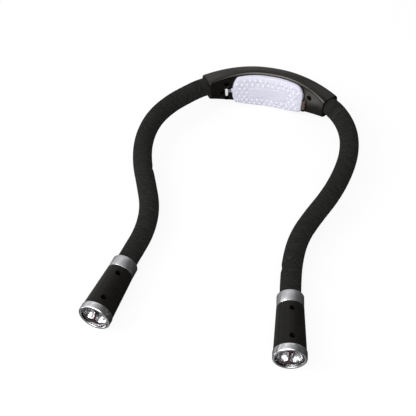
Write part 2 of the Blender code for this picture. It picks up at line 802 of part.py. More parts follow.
def door_tab(name, margin):
    """The door's small lip under the latch's tongue, or with a margin the room for it."""
    near = LATCH_MARGIN - DOOR_TAB_REACH
    tall = DOOR_TAB_HEIGHT / 2 + margin
    low = (near - margin, -tall, -DOOR_THICKNESS + GAP / 2 - margin)
    high = (near + DOOR_TAB_LENGTH, tall, -GAP / 2 + margin)
    return block(name, low, high, LATCH_FRAME)


def latch_pocket():
    half = LATCH_BAR_WIDTH / 2
    low = (-half - LATCH_TRAVEL - POCKET_MARGIN, -LATCH_BAR_HEIGHT / 2 - POCKET_MARGIN, -POCKET_DEPTH)
    high = (half + LATCH_TONGUE_LENGTH, LATCH_BAR_HEIGHT / 2 + POCKET_MARGIN, OVERRUN)
    return block("cut_latch_pocket", low, high, LATCH_FRAME)


def latch_slot():
    half = LATCH_STEM_WIDTH / 2
    low = (-half - LATCH_TRAVEL - GAP, -LATCH_STEM_HEIGHT / 2 - GAP, -FACE_WALL - OVERRUN)
    high = (half + GAP, LATCH_STEM_HEIGHT / 2 + GAP, OVERRUN)
    return block("cut_latch_slot", low, high, LATCH_FRAME)


def latch_rib():
    """The stop that the latch spring pushes against, inside the inner shell."""
    near = -LATCH_FOOT_WIDTH / 2 - LATCH_TRAVEL - SPRING_SOLID_LENGTH
    low = (near - RIB_THICKNESS, -LATCH_FOOT_HEIGHT / 2, -RIB_DEPTH)
    high = (near, LATCH_FOOT_HEIGHT / 2, -FACE_WALL / 2)
    return block("latch_rib", low, high, LATCH_FRAME)


def make_inner_shell(cavity, core, collars, bores):
    shell = neck_loft("inner_shell", finish="housing_plastic")
    cut(shell, cavity)
    keep(shell, parting_region("region_inner", -GAP / 2))
    add(shell, *(screw_boss(name, core) for name in HOUSING_SCREWS), latch_rib())
    cut(shell, *collars, *bores, *(screw_seat(name) for name in HOUSING_SCREWS))
    cut(shell, door_region("cut_door", GAP, OVERRUN, DOOR_THICKNESS + GAP))
    bay = prism(
        "cut_bay", -BAY_HALF_WIDTH, BAY_HALF_WIDTH, DOOR_BOTTOM + BAY_LEDGE, DOOR_TOP - BAY_LEDGE,
        -ARC_RADIUS / 2, -NECK_DEPTH / 2 + BAY_DEPTH, DOOR_CORNER,
    )
    cut(shell, bay, latch_pocket(), latch_slot(), door_tab("cut_door_tab", GAP))
    for number, (low, high) in enumerate(knuckle_spans()[1]):
        add(shell, knuckle(f"case_knuckle_{number}", low, high, KNUCKLE_RADIUS))
    cut(shell, hinge_clearance(), hinge_arm("cut_hinge_arm", GAP), pin_bore())
    return shell


def pin_bore():
    reach = DOOR_KNUCKLE_LENGTH / 2 + CASE_KNUCKLE_LENGTH + OVERRUN
    return knuckle("cut_pin_bore", -reach, reach, PIN_RADIUS + GAP, PIN_STEPS)


# Battery door, pad, latch and their small pieces


def make_battery_door():
    door = door_region("battery_door", 0.0, 0.0, DOOR_THICKNESS)
    CUTTERS.objects.unlink(door)
    PARTS.objects.link(door)
    door.hide_render = False
    door.display_type = "TEXTURED"
    door.data.materials.append(finish_material("housing_plastic"))
    low, high = knuckle_spans()[0]
    turning = knuckle("door_knuckle", low, high, KNUCKLE_RADIUS)
    add(door, hinge_arm("door_hinge_arm", 0.0), turning, door_tab("door_tab", 0.0))
    cut(door, pin_bore())
    return door


def make_hinge_pin():
    reach = DOOR_KNUCKLE_LENGTH / 2 + CASE_KNUCKLE_LENGTH
    start = HINGE_FRAME @ Vector((0, -reach, HINGE_STANDOFF))
    end = HINGE_FRAME @ Vector((0, reach, HINGE_STANDOFF))
    return rod("door_hinge_pin", start, end, PIN_RADIUS, SMALL_STEPS, "steel")


def pad_span(place):
    """The pad's lowest and highest point at a place along the arc, with its corners rounded."""
    angle = place / FACE_ARC_RADIUS
    foot, ridge = section_corners(angle)[:2]
    low = foot[1] + PAD_FOOT_MARGIN
    high = ridge[1] - PAD_TOP_MARGIN
    edge = PAD_LEFT if place < 0 else PAD_RIGHT
    into = abs(place) - (edge - PAD_CORNER)
    if into > 0:
        inset = PAD_CORNER - math.sqrt(max(PAD_CORNER**2 - into**2, 0.0))
        low += inset
        high -= inset
    return low, high


def pad_ring(share):
    """One closed section of the pad: its back along the face, and its crowned front."""
    middle = (PAD_RIGHT - PAD_LEFT) / 2
    place = middle + share * (PAD_RIGHT + PAD_LEFT) / 2
    angle = place / FACE_ARC_RADIUS
    low, high = pad_span(place)
    along = max(1 - abs(share) ** PAD_POWER, 0.0) ** (1 / PAD_POWER)
    back, front = [], []
    for i in range(PAD_ROWS + 1):
        row = math.sin(math.pi / 2 * (2 * i / PAD_ROWS - 1))
        across = max(1 - abs(row) ** PAD_POWER, 0.0) ** (1 / PAD_POWER)
        height = blend(low, high, (row + 1) / 2)
        face = face_offset(angle, height) - GAP
        back.append(on_arc(angle, face, height))
        front.append(on_arc(angle, face - PAD_RIM - (PAD_THICKNESS - PAD_RIM) * along * across, height))
    return back + front[::-1]


def make_neck_pad():
    shares = [math.sin(math.pi / 2 * (2 * i / PAD_STATIONS - 1)) for i in range(PAD_STATIONS + 1)]
    return loft("neck_pad", [pad_ring(share) for share in shares], "gel")


def make_latch():
    half = LATCH_BAR_WIDTH / 2
    tall = LATCH_BAR_HEIGHT / 2
    bar = block(
        "door_latch", (-half, -tall, GAP - POCKET_DEPTH), (half, tall, LATCH_PROUD), LATCH_FRAME,
        "satin_aluminium",
    )
    tongue = block(
        "latch_tongue", (0, -LATCH_TONGUE_HEIGHT / 2, 2 * GAP),
        (half + LATCH_TONGUE_LENGTH, LATCH_TONGUE_HEIGHT / 2, LATCH_PROUD - GAP), LATCH_FRAME,
    )
    floor = -FACE_WALL - GAP
    stem = block(
        "latch_stem", (-LATCH_STEM_WIDTH / 2, -LATCH_STEM_HEIGHT / 2, floor - GAP),
        (LATCH_STEM_WIDTH / 2, LATCH_STEM_HEIGHT / 2, 0), LATCH_FRAME,
    )
    foot = block(
        "latch_foot", (-LATCH_FOOT_WIDTH / 2, -LATCH_FOOT_HEIGHT / 2, floor - LATCH_FOOT_THICKNESS),
        (LATCH_FOOT_WIDTH / 2, LATCH_FOOT_HEIGHT / 2, floor), LATCH_FRAME,
    )
    add(bar, tongue, stem, foot)
    return bar


def make_latch_spring():
    """A coil between the latch's foot and the rib, along the slide."""
    start = -LATCH_FOOT_WIDTH / 2 - GAP - SPRING_WIRE_RADIUS
    end = -LATCH_FOOT_WIDTH / 2 - LATCH_TRAVEL - SPRING_SOLID_LENGTH + GAP + SPRING_WIRE_RADIUS
    depth = -FACE_WALL - GAP - LATCH_FOOT_THICKNESS / 2
    count = SPRING_TURNS * SPRING_POINTS_PER_TURN
    points = []
    for i in range(count + 1):
        turn = 2 * math.pi * i / SPRING_POINTS_PER_TURN
        points.append(
            LATCH_FRAME
            @ Vector(
                (
                    blend(start, end, i / count),
                    SPRING_RADIUS * math.cos(turn),
                    depth + min(SPRING_RADIUS * math.sin(turn), LATCH_FOOT_THICKNESS / 2 - GAP),
                )
            )
        )
    return tube("latch_spring", points, SPRING_WIRE_RADIUS, SPRING_BEVEL_STEPS, "steel")


def screw_profile(shank):
    """A pan-head screw, head down from zero: (radius, height) with the shank below."""
    return [
        (0.0, 0.0),
        (SCREW_HEAD_RADIUS - EDGE_CHAMFER, 0.0),
        (SCREW_HEAD_RADIUS, -EDGE_CHAMFER),
        (SCREW_HEAD_RADIUS, -SCREW_HEAD_HEIGHT),
        (SCREW_SHANK_RADIUS, -SCREW_HEAD_HEIGHT),
        (SCREW_SHANK_RADIUS, -SCREW_HEAD_HEIGHT - shank),
        (0.0, -SCREW_HEAD_HEIGHT - shank),
    ]


def make_housing_screws():
    return [
        turned(name, screw_profile(SCREW_SHANK_LENGTH), screw_frame(name), SMALL_STEPS, "steel")
        for name in HOUSING_SCREWS
    ]


# Cells, contacts, circuit board, switches and buttons


def cell_rows():
    """Offset and height of the two cells, stacked along the leaning face."""
    rows = []
    for number in range(2):
        height = CELL_FLOOR + CELL_RADIUS + number * (2 * CELL_RADIUS + GAP)
        lean = math.cos(math.atan2(RIDGE_LEAN, NECK_HEIGHT))
        offset = face_offset(0.0, height + CELL_RADIUS) + (DOOR_THICKNESS + CELL_RADIUS) / lean + GAP
        rows.append((offset, height))
    return rows


def make_cells():
    cells = []
    half = CELL_LENGTH / 2
    profile = [
        (0.0, half),
        (CELL_NUB_RADIUS, half),
        (CELL_NUB_RADIUS, half - CELL_NUB_LENGTH),
        (CELL_RADIUS - CELL_CHAMFER, half - CELL_NUB_LENGTH),
        (CELL_RADIUS, half - CELL_NUB_LENGTH - CELL_CHAMFER),
        (CELL_RADIUS, CELL_CHAMFER - half),
        (CELL_RADIUS - CELL_CHAMFER, -half),
        (0.0, -half),
    ]
    for number, (name, (offset, height)) in enumerate(zip(("cell_lower", "cell_upper"), cell_rows())):
        turn = Matrix.Rotation(QUARTER_TURN * (1 - 2 * number), 4, "Y")
        frame = Matrix.Translation((0.0, offset, height)) @ turn
        cells.append(turned(name, profile, frame, CELL_STEPS, "cell_sleeve"))
    return cells


def make_contacts():
    """A plate across the ends of both cells, with a bump that meets each cell."""
    made = []
    rows = cell_rows()
    centre = (rows[0][0] + rows[1][0]) / 2
    near = CELL_LENGTH / 2 + GAP + CONTACT_BUMP_LENGTH
    low = rows[0][1] - CELL_RADIUS + GAP
    high = rows[1][1] + CELL_RADIUS - GAP
    for side, sign in SIDES.items():
        ends = sorted((sign * near, sign * (near + CONTACT_THICKNESS)))
        plate = block(
            f"contact_{side}", (ends[0], centre - CONTACT_WIDTH / 2, low),
            (ends[1], centre + CONTACT_WIDTH / 2, high), None, "steel",
        )
        for number, (offset, height) in enumerate(rows):
            bump = rod(
                f"bump_{side}_{number}", (sign * (near - CONTACT_BUMP_LENGTH), offset, height),
                (sign * (near + CONTACT_THICKNESS / 2), offset, height), CONTACT_BUMP_RADIUS,
            )
            add(plate, bump)
        made.append(plate)
    return made


def make_circuit_board():
    rings = []
    for angle in arc_angles(BOARD_HALF_ANGLE, BOARD_STATIONS):
        top = BOARD_BOTTOM + BOARD_THICKNESS
        rings.append(
            [
                on_arc(angle, -BOARD_INNER, BOARD_BOTTOM),
                on_arc(angle, -BOARD_INNER, top),
                on_arc(angle, BOARD_OUTER, top),
                on_arc(angle, BOARD_OUTER, BOARD_BOTTOM),
            ]
        )
    return loft("circuit_board", rings, "board_green")


def arc_frame(angle, offset, height):
    """A frame on the arc: X along it, Y outwards to the back, Z up."""
    along = Vector((math.cos(angle), -math.sin(angle), 0.0))
    out = Vector((math.sin(angle), math.cos(angle), 0.0))
    up = Vector((0.0, 0.0, 1.0))
    return Matrix.Translation(on_arc(angle, offset, height)) @ Matrix((along, out, up)).transposed().to_4x4()


def button_rest(side):
    """Offsets of the back face, of the flange's rear and of the stem's tip."""
    angle = BUTTON_ANGLE * SIDES[side]
    back = back_offset(angle, BUTTON_HEIGHT)
    flange = back - SHELL_WALL - BUTTON_WALL_GAP - BUTTON_FLANGE_THICKNESS
    return angle, back, flange


def make_switch(side):
    angle, _, flange = button_rest(side)
    low = CELL_FLOOR
    tip = flange - BUTTON_TRAVEL - 2 * GAP
    front = tip - PLUNGER_LENGTH
    frame = arc_frame(angle, 0.0, 0.0)
    body = block(
        f"switch_{side}", (-SWITCH_WIDTH / 2, front - SWITCH_DEPTH, low),
        (SWITCH_WIDTH / 2, front, BUTTON_HEIGHT + SWITCH_HEADROOM), frame, "black_plastic",
    )
    plunger = rod(
        f"plunger_{side}", frame @ Vector((0, front - GAP, BUTTON_HEIGHT)),
        frame @ Vector((0, tip, BUTTON_HEIGHT)), PLUNGER_RADIUS,
    )
    add(body, plunger)
    return body


def make_button(side):
    """A round cap with a flange behind the wall."""
    angle, back, flange = button_rest(side)
    frame = arc_frame(angle, 0.0, BUTTON_HEIGHT) @ Matrix.Rotation(-QUARTER_TURN, 4, "X")
    top = back + BUTTON_PROUD
    ledge = flange + BUTTON_FLANGE_THICKNESS
    profile = [
        (0.0, top),
        (BUTTON_RADIUS - EDGE_CHAMFER, top),
        (BUTTON_RADIUS, top - EDGE_CHAMFER),
        (BUTTON_RADIUS, ledge),
        (BUTTON_RADIUS + BUTTON_FLANGE, ledge),
        (BUTTON_RADIUS + BUTTON_FLANGE, flange),
        (0.0, flange),
    ]
    return turned(f"button_{side}", profile, frame, SMALL_STEPS, "black_plastic")


def make_anchor(side):
    """A ferrule with its flange inside the collar's end wall and its neck in the wall's hole."""
    wall = -SLEEVE_SEAT - END_WALL
    profile = [
        (CORE_RADIUS, -SLEEVE_SEAT),
        (CORE_RADIUS, wall - ANCHOR_GAP),
        (ANCHOR_RADIUS, wall - ANCHOR_GAP),
        (ANCHOR_RADIUS, wall - ANCHOR_GAP - ANCHOR_FLANGE),
        (ANCHOR_BORE, wall - ANCHOR_GAP - ANCHOR_FLANGE),
        (ANCHOR_BORE, -SLEEVE_SEAT),
    ]
    return turned(f"arm_anchor_{side}", profile, end_frame(side), SMALL_STEPS, "brass")


# Arms


def heading_at(side, share):
    """The arm's heading at a share of its length, between the two nearest table entries."""
    table = HEADINGS[side]
    for i in range(len(HEADING_SHARES) - 1):
        if share <= HEADING_SHARES[i + 1]:
            into = (share - HEADING_SHARES[i]) / (HEADING_SHARES[i + 1] - HEADING_SHARES[i])
            return math.radians(blend(table[i], table[i + 1], into))
    return math.radians(table[-1])


def direction_at(side, length):
    """The horizontal direction in which an arm runs at a length from the collar's end face."""
    heading = heading_at(side, min(max(length / ARM_LENGTHS[side], 0.0), 1.0))
    return Vector((SIDES[side] * math.sin(heading), -math.cos(heading), 0.0))


def arm_route(side):
    """Points along the arm's centre line, a step apart, from the collar's end face."""
    count = max(2, round(ARM_LENGTHS[side] / ROUTE_STEP))
    step = ARM_LENGTHS[side] / count
    place = on_arc(HALF_ANGLE * SIDES[side], 0.0, AXIS_HEIGHT)
    points = [place.copy()]
    for i in range(count):
        place = place + direction_at(side, (i + 0.5) * step) * step
        place.z = blend(AXIS_HEIGHT, HEAD_HEIGHT, smooth((i + 1) / count))
        points.append(place.copy())
    return points


def point_at(side, length):
    """A point of the arm at a length; before the start it lies on the collar's axis."""
    route = ROUTES[side]
    if length < 0:
        return end_frame(side) @ Vector((0, 0, length))
    whole = ARM_LENGTHS[side]
    if length > whole:
        return route[-1] + direction_at(side, whole) * (length - whole)
    exact = length / whole * (len(route) - 1)
    index = min(int(exact), len(route) - 2)
    return route[index].lerp(route[index + 1], exact - index)


def arm_run(side, start, end):
    """Points from start to end; a short piece at each end turns its cap square to the arm."""
    count = max(2, round((end - start) / TUBE_STEP))
    first, last = start + ROUTE_STEP, end - ROUTE_STEP
    inner = [blend(first, last, i / count) for i in range(count + 1)]
    return [point_at(side, place) for place in (start, *inner, end)]


def arm_spans(side):
    """Where each flexible and each stiff length of an arm starts and ends."""
    flexes, sleeves = [], []
    place = 0.0
    lengths = (("upper", UPPER_LENGTH), ("middle", MIDDLE_LENGTH), ("fore", FORE_LENGTHS[side]))
    for name, length in lengths:
        flexes.append((place, place + FLEX_LENGTH))
        sleeves.append((name, place + FLEX_LENGTH, place + FLEX_LENGTH + length))
        place += FLEX_LENGTH + length
    flexes.append((place, place + FLEX_LENGTH))
    return flexes, sleeves


def make_arm(side):
    flexes, sleeves = arm_spans(side)
    made = {}
    names = ("shoulder", "raise", "elbow", "wrist")
    for number, (name, (start, end)) in enumerate(zip(names, flexes)):
        if number == 0:
            start = -SLEEVE_SEAT + GAP / 2
        if number == len(flexes) - 1:
            end = end + RING_SEAT - GAP / 2
        run = arm_run(side, start + GAP / 2, end - GAP / 2)
        made["flex_" + name] = tube(f"{side}_flex_{name}", run, SLEEVE_RADIUS, SLEEVE_BEVEL_STEPS, "foam")
    for name, start, end in sleeves:
        run = arm_run(side, start + GAP / 2, end - GAP / 2)
        sleeve = tube(f"{side}_sleeve_{name}", run, SLEEVE_RADIUS, SLEEVE_BEVEL_STEPS, "foam")
        hollow = arm_run(side, start - GAP, end + GAP)
        cut(sleeve, tube(f"cut_{side}_{name}", hollow, CORE_RADIUS + GAP, CORE_BEVEL_STEPS))
        made["sleeve_" + name] = sleeve
        made["core_" + name] = tube(f"{side}_core_{name}", run, CORE_RADIUS, CORE_BEVEL_STEPS, "steel")
    return made


# Lamp heads


def head_frame(side):
    """A frame at the rear of the ring collar: Z runs to the lens, Y out of the screw holes."""
    axis = direction_at(side, ARM_LENGTHS[side])
    up = Vector((0.0, 0.0, 1.0))
    across = up.cross(axis)
    flat = Matrix((across, up, axis)).transposed().to_4x4()
    lean = HEAD_ROLL[side] * (1 if across.x > 0 else -1)
    roll = Matrix.Rotation(-lean, 4, "Z")
    return Matrix.Translation(ROUTES[side][-1]) @ flat @ roll


def make_ring_collar(side, frame):
    web = RING_SEAT + RING_WEB
    spigot = BARREL_REAR_RADIUS - BARREL_WALL - GAP
    inside = spigot - BOSS_WALL
    profile = [
        (RING_RADIUS - EDGE_CHAMFER, RING_LENGTH),
        (RING_RADIUS, RING_LENGTH - EDGE_CHAMFER),
        (RING_RADIUS, EDGE_CHAMFER),
        (RING_RADIUS - EDGE_CHAMFER, 0.0),
        (SLEEVE_HOLE, 0.0),
        (SLEEVE_HOLE, RING_SEAT),
        (WIRE_HOLE_RADIUS, RING_SEAT),
        (WIRE_HOLE_RADIUS, web),
        (inside, web),
        (inside, RING_LENGTH + SPIGOT_LENGTH),
        (spigot, RING_LENGTH + SPIGOT_LENGTH),
        (spigot, RING_LENGTH),
    ]
    return turned(f"{side}_ring_collar", profile, frame, TURNED_STEPS, "satin_aluminium")


def barrel_screw_places():
    """Places along the head: the rear boss clears the ring's spigot, the front one the LED board."""
    boss = SCREW_RECESS_RADIUS + BOSS_WALL
    rear = RING_LENGTH + SPIGOT_LENGTH + REAR_BOSS_CLEARANCE + boss
    front = led_board_front() - LED_BOARD_THICKNESS - FRONT_BOSS_CLEARANCE - boss
    return rear, front


def barrel_radius(place):
    """Outer radius of the tapered barrel at a place along the head."""
    return blend(BARREL_REAR_RADIUS, BARREL_FRONT_RADIUS, (place - BARREL_REAR) / (BARREL_END - BARREL_REAR))


def barrel_tube(name, frame):
    profile = [
        (BARREL_FRONT_RADIUS, BARREL_END),
        (BARREL_REAR_RADIUS, BARREL_REAR),
        (BARREL_REAR_RADIUS - BARREL_WALL, BARREL_REAR),
        (BARREL_FRONT_RADIUS - BARREL_WALL, BARREL_END),
    ]
    turn = Matrix.Rotation(math.pi / TURNED_STEPS / 2, 4, "Z")
    return turned(name, profile, frame @ turn, TURNED_STEPS, "barrel_plastic")


def head_rod(name, frame, place, low, high, radius):
    """A cylinder across the head, along its screw direction."""
    return rod(name, frame @ Vector((0, low, place)), frame @ Vector((0, high, place)), radius, SMALL_STEPS)


def make_barrel_halves(side, frame):
    upper = barrel_tube(f"{side}_barrel_upper", frame)
    lower = barrel_tube(f"{side}_barrel_lower", frame)
    wide = BEZEL_RADIUS + OVERRUN
    under = (-wide, -wide, 0.0), (wide, GAP / 2, HEAD_END)
    over = (-wide, -GAP / 2, 0.0), (wide, wide, HEAD_END)
    cut(upper, block(f"cut_{side}_under", *under, frame))
    cut(lower, block(f"cut_{side}_over", *over, frame))
    for number, at in enumerate(barrel_screw_places()):
        wall = barrel_radius(at) - BARREL_WALL / 2
        floor = BOSS_TOP + GAP + BOSS_FLOOR
        label = f"{side}_{number}"
        boss = SCREW_RECESS_RADIUS + BOSS_WALL
        chord = math.sqrt(wall**2 - boss**2)
        add(upper, head_rod(f"boss_{label}", frame, at, BOSS_TOP + GAP, chord, boss))
        cut(upper, head_rod(f"recess_{label}", frame, at, floor, wall + OVERRUN, SCREW_RECESS_RADIUS))
        bore = SCREW_SHANK_RADIUS + GAP
        cut(upper, head_rod(f"bore_upper_{label}", frame, at, 0, wall, bore))
        add(lower, head_rod(f"post_{label}", frame, at, -wall, BOSS_TOP, HOUSING_POST_RADIUS))
        depth = floor - SCREW_SHANK_LENGTH - GAP
        cut(lower, head_rod(f"bore_lower_{label}", frame, at, depth, wall, bore))
    return upper, lower


def make_barrel_screws(side, frame):
    made = []
    top = BOSS_TOP + GAP + BOSS_FLOOR + GAP + SCREW_HEAD_HEIGHT
    for name, place in zip(("rear", "front"), barrel_screw_places()):
        shift = Matrix.Translation((0, top, place)) @ Matrix.Rotation(-QUARTER_TURN, 4, "X")
        profile = screw_profile(SCREW_SHANK_LENGTH - GAP)
        made.append(turned(f"{side}_barrel_screw_{name}", profile, frame @ shift, SMALL_STEPS, "steel"))
    return made


def spigot_radius():
    return BARREL_FRONT_RADIUS - BARREL_WALL - GAP - GAP / 2


def reflector_seat():
    """Front of the bezel's inner step, where the reflector's flange rests."""
    lens_rear = HEAD_END - BEZEL_LIP - GAP - LENS_THICKNESS
    return lens_rear - GAP - REFLECTOR_FLANGE - GAP


def led_board_front():
    return reflector_seat() + GAP + REFLECTOR_FLANGE - REFLECTOR_DEPTH - GAP


def make_bezel(side, frame):
    spigot = spigot_radius()
    inside = spigot - BEZEL_SPIGOT_WALL
    rear = BEZEL_REAR - BEZEL_SPIGOT_LENGTH
    profile = [
        (BEZEL_RADIUS - EDGE_CHAMFER, HEAD_END),
        (BEZEL_RADIUS, HEAD_END - EDGE_CHAMFER),
        (BEZEL_RADIUS, BEZEL_REAR),
        (spigot, BEZEL_REAR),
        (spigot, rear),
        (inside, rear),
        (inside, reflector_seat()),
        (LENS_RADIUS + GAP, reflector_seat()),
        (LENS_RADIUS + GAP, HEAD_END - BEZEL_LIP),
        (BEZEL_OPENING, HEAD_END - BEZEL_LIP),
        (BEZEL_OPENING, HEAD_END),
    ]
    return turned(f"{side}_bezel", profile, frame, TURNED_STEPS, "polished_aluminium")


def make_lens(side, frame):
    front = HEAD_END - BEZEL_LIP - GAP
    rear = front - LENS_THICKNESS
    profile = [(0.0, front), (LENS_RADIUS, front), (LENS_RADIUS, rear), (0.0, rear)]
    return turned(f"{side}_lens", profile, frame, LENS_STEPS, "clear_lens")


def cup_profile(front, rear):
    """A cup that narrows to the LED's hole, as (radius, height) from its mouth down."""
    hole_top = rear + CUP_HOLE_DEPTH
    points = [(0.0, front + OVERRUN), (CUP_RADIUS, front + OVERRUN)]
    for i in range(CUP_ROWS + 1):
        share = i / CUP_ROWS
        radius = blend(CUP_RADIUS, CUP_HOLE_RADIUS, share)
        depth = 1 - ((radius - CUP_HOLE_RADIUS) / (CUP_RADIUS - CUP_HOLE_RADIUS)) ** 2
        points.append((radius, blend(front, hole_top, depth)))
    points += [(CUP_HOLE_RADIUS, rear - OVERRUN), (0.0, rear - OVERRUN)]
    return points


def make_reflector(side, frame):
    front = reflector_seat() + GAP + REFLECTOR_FLANGE
    rear = front - REFLECTOR_DEPTH
    body = spigot_radius() - BEZEL_SPIGOT_WALL - GAP
    profile = [
        (0.0, front),
        (LENS_RADIUS, front),
        (LENS_RADIUS, front - REFLECTOR_FLANGE),
        (body, front - REFLECTOR_FLANGE),
        (body, rear),
        (0.0, rear),
    ]
    reflector = turned(f"{side}_reflector", profile, frame, LENS_STEPS, "chrome")
    for sign, label in ((-1, "a"), (1, "b")):
        shift = Matrix.Translation((sign * (CUP_RADIUS + CUP_WEB / 2), 0, 0))
        cut(reflector, turned(f"cut_{side}_cup_{label}", cup_profile(front, rear), frame @ shift, CUP_STEPS))
    return reflector


def make_led_board(side, frame):
    top = led_board_front()
    radius = spigot_radius() - BEZEL_SPIGOT_WALL - GAP
    start, end = (frame @ Vector((0, 0, place)) for place in (top - LED_BOARD_THICKNESS, top))
    board = rod(f"{side}_led_board", start, end, radius, LED_BOARD_STEPS, "board_green")
    for sign, label in ((-1, "a"), (1, "b")):
        bm = bmesh.new()
        bmesh.ops.create_uvsphere(bm, u_segments=SMALL_STEPS, v_segments=LED_ROWS, radius=LED_RADIUS)
        centre = frame @ Matrix.Translation((sign * (CUP_RADIUS + CUP_WEB / 2), 0, top - GAP / 2))
        bmesh.ops.transform(bm, matrix=centre, verts=bm.verts)
        add(board, object_from_bmesh(f"led_{side}_{label}", bm))
    return board


def make_head(side):
    frame = head_frame(side)
    made = [make_ring_collar(side, frame), *make_barrel_halves(side, frame)]
    made += make_barrel_screws(side, frame)
    made += [make_bezel(side, frame), make_lens(side, frame), make_reflector(side, frame)]
    made.append(make_led_board(side, frame))
    return made


# Moving groups: each hangs on an empty at its joint


def joint_empty(name, place, parent=None):
    empty = bpy.data.objects.new(name, None)
    empty.empty_display_size = SLEEVE_RADIUS
    PARTS.objects.link(empty)
    empty.location = place if parent is None else Vector(place) - Vector(parent["place"])
    empty.parent = parent
    empty["place"] = tuple(place)
    return empty


def hang(items, empty):
    """Parents items to an empty without moving them."""
    for item in items:
        item.parent = empty
        item.matrix_parent_inverse = Matrix.Translation(-Vector(empty["place"]))


def flex_middle(side, number):
    start, end = arm_spans(side)[0][number]
    return point_at(side, (start + end) / 2)


def hang_arm(side, arm, head):
    shoulder = joint_empty(f"{side}_shoulder_joint", flex_middle(side, 0))
    lift = joint_empty(f"{side}_raise_joint", flex_middle(side, 1), shoulder)
    elbow = joint_empty(f"{side}_elbow_joint", flex_middle(side, 2), lift)
    wrist = joint_empty(f"{side}_wrist_joint", flex_middle(side, 3), elbow)
    hang([arm["sleeve_upper"], arm["core_upper"], arm["flex_raise"]], shoulder)
    hang([arm["sleeve_middle"], arm["core_middle"], arm["flex_elbow"]], lift)
    hang([arm["sleeve_fore"], arm["core_fore"], arm["flex_wrist"]], elbow)
    hang(head, wrist)


def make_neckpiece():
    cavity = neck_loft("cut_cavity", neck_cavity_insets(), cavity_half_angle())
    collars = [cutter for side in SIDES for cutter in collar_cutters(side)]
    bores = [screw_bore(name) for name in HOUSING_SCREWS]
    core = neck_loft("cut_core", (SHELL_WALL / 2,) * 4)
    make_outer_shell(cavity, core, collars, bores)
    make_inner_shell(cavity, core, collars, bores)
    make_circuit_board()
    make_cells()
    make_contacts()
    make_housing_screws()
    make_hinge_pin()
    make_latch_spring()
    for side in SIDES:
        make_switch(side)
        make_anchor(side)


def make_moving_neck_parts():
    hinge = joint_empty("door_hinge_joint", HINGE_FRAME @ Vector((0, 0, HINGE_STANDOFF)))
    hang([make_battery_door(), make_neck_pad()], hinge)
    slide = joint_empty("latch_slide_joint", LATCH_FRAME.translation)
    hang([make_latch()], slide)
    for side in SIDES:
        place = on_arc(BUTTON_ANGLE * SIDES[side], NECK_DEPTH / 2, BUTTON_HEIGHT)
        hang([make_button(side)], joint_empty(f"{side}_button_joint", place))


clear_scene()
PARTS = new_collection("neck_reading_light")
CUTTERS = new_collection("cutters")
HINGE_FRAME = face_frame(HINGE_PLACE, HINGE_HEIGHT)
LATCH_FRAME = face_frame(-LATCH_PLACE, LATCH_HEIGHT)
ROUTES = {side: arm_route(side) for side in SIDES}
make_neckpiece()
make_moving_neck_parts()
for side in SIDES:
    hang_arm(side, make_arm(side), make_head(side))
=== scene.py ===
# %% [markdown]
# # A neck reading light
# A crescent neckpiece rests behind the neck. Two foam-covered gooseneck arms reach forward from its ends,
# and each carries a small lamp head. The CAD frame gives every body and joint; this lesson dresses it, in
# the same metres, with finer shapes and with materials made of nodes.

# %% Load the frame
import math

import bmesh
import bpy
from mathutils import Matrix, Vector


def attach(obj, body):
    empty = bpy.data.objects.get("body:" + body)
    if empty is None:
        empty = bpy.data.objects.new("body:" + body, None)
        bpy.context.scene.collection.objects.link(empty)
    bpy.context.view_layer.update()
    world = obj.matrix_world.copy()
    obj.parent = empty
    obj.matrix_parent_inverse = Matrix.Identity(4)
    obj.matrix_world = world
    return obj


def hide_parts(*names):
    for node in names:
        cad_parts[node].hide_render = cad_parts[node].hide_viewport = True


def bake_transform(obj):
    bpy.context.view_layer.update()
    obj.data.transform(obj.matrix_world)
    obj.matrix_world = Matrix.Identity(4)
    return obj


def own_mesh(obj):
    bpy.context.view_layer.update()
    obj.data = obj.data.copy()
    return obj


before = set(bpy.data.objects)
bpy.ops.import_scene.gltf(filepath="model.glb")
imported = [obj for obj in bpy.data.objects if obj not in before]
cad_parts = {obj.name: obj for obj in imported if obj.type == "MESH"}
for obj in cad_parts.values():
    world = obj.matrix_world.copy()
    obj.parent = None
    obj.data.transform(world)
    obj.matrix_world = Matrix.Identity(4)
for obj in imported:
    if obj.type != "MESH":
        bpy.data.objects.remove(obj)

MM = 0.001
SIDES = {"left": -1, "right": 1}
UP = Vector((0.0, 0.0, 1.0))
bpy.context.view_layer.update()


def mm(*rows):
    """Rows of millimetres as rows of metres."""
    return [tuple(value * MM for value in row) for row in rows]


def frame_at(origin, x, y, z):
    """The matrix that puts the origin and the three axes in these places."""
    return Matrix.Translation(origin) @ Matrix((x, y, z)).transposed().to_4x4()


def add_object(name, data):
    item = bpy.data.objects.new(name, data)
    bpy.context.scene.collection.objects.link(item)
    return item


# %% [markdown]
# ## Camera
# The reference view looks down at 48 degrees and a little from the right. A long lens at about 0.8 m keeps
# the two heads nearly as large as the neckpiece, so the camera comes first and the rest is judged through it.

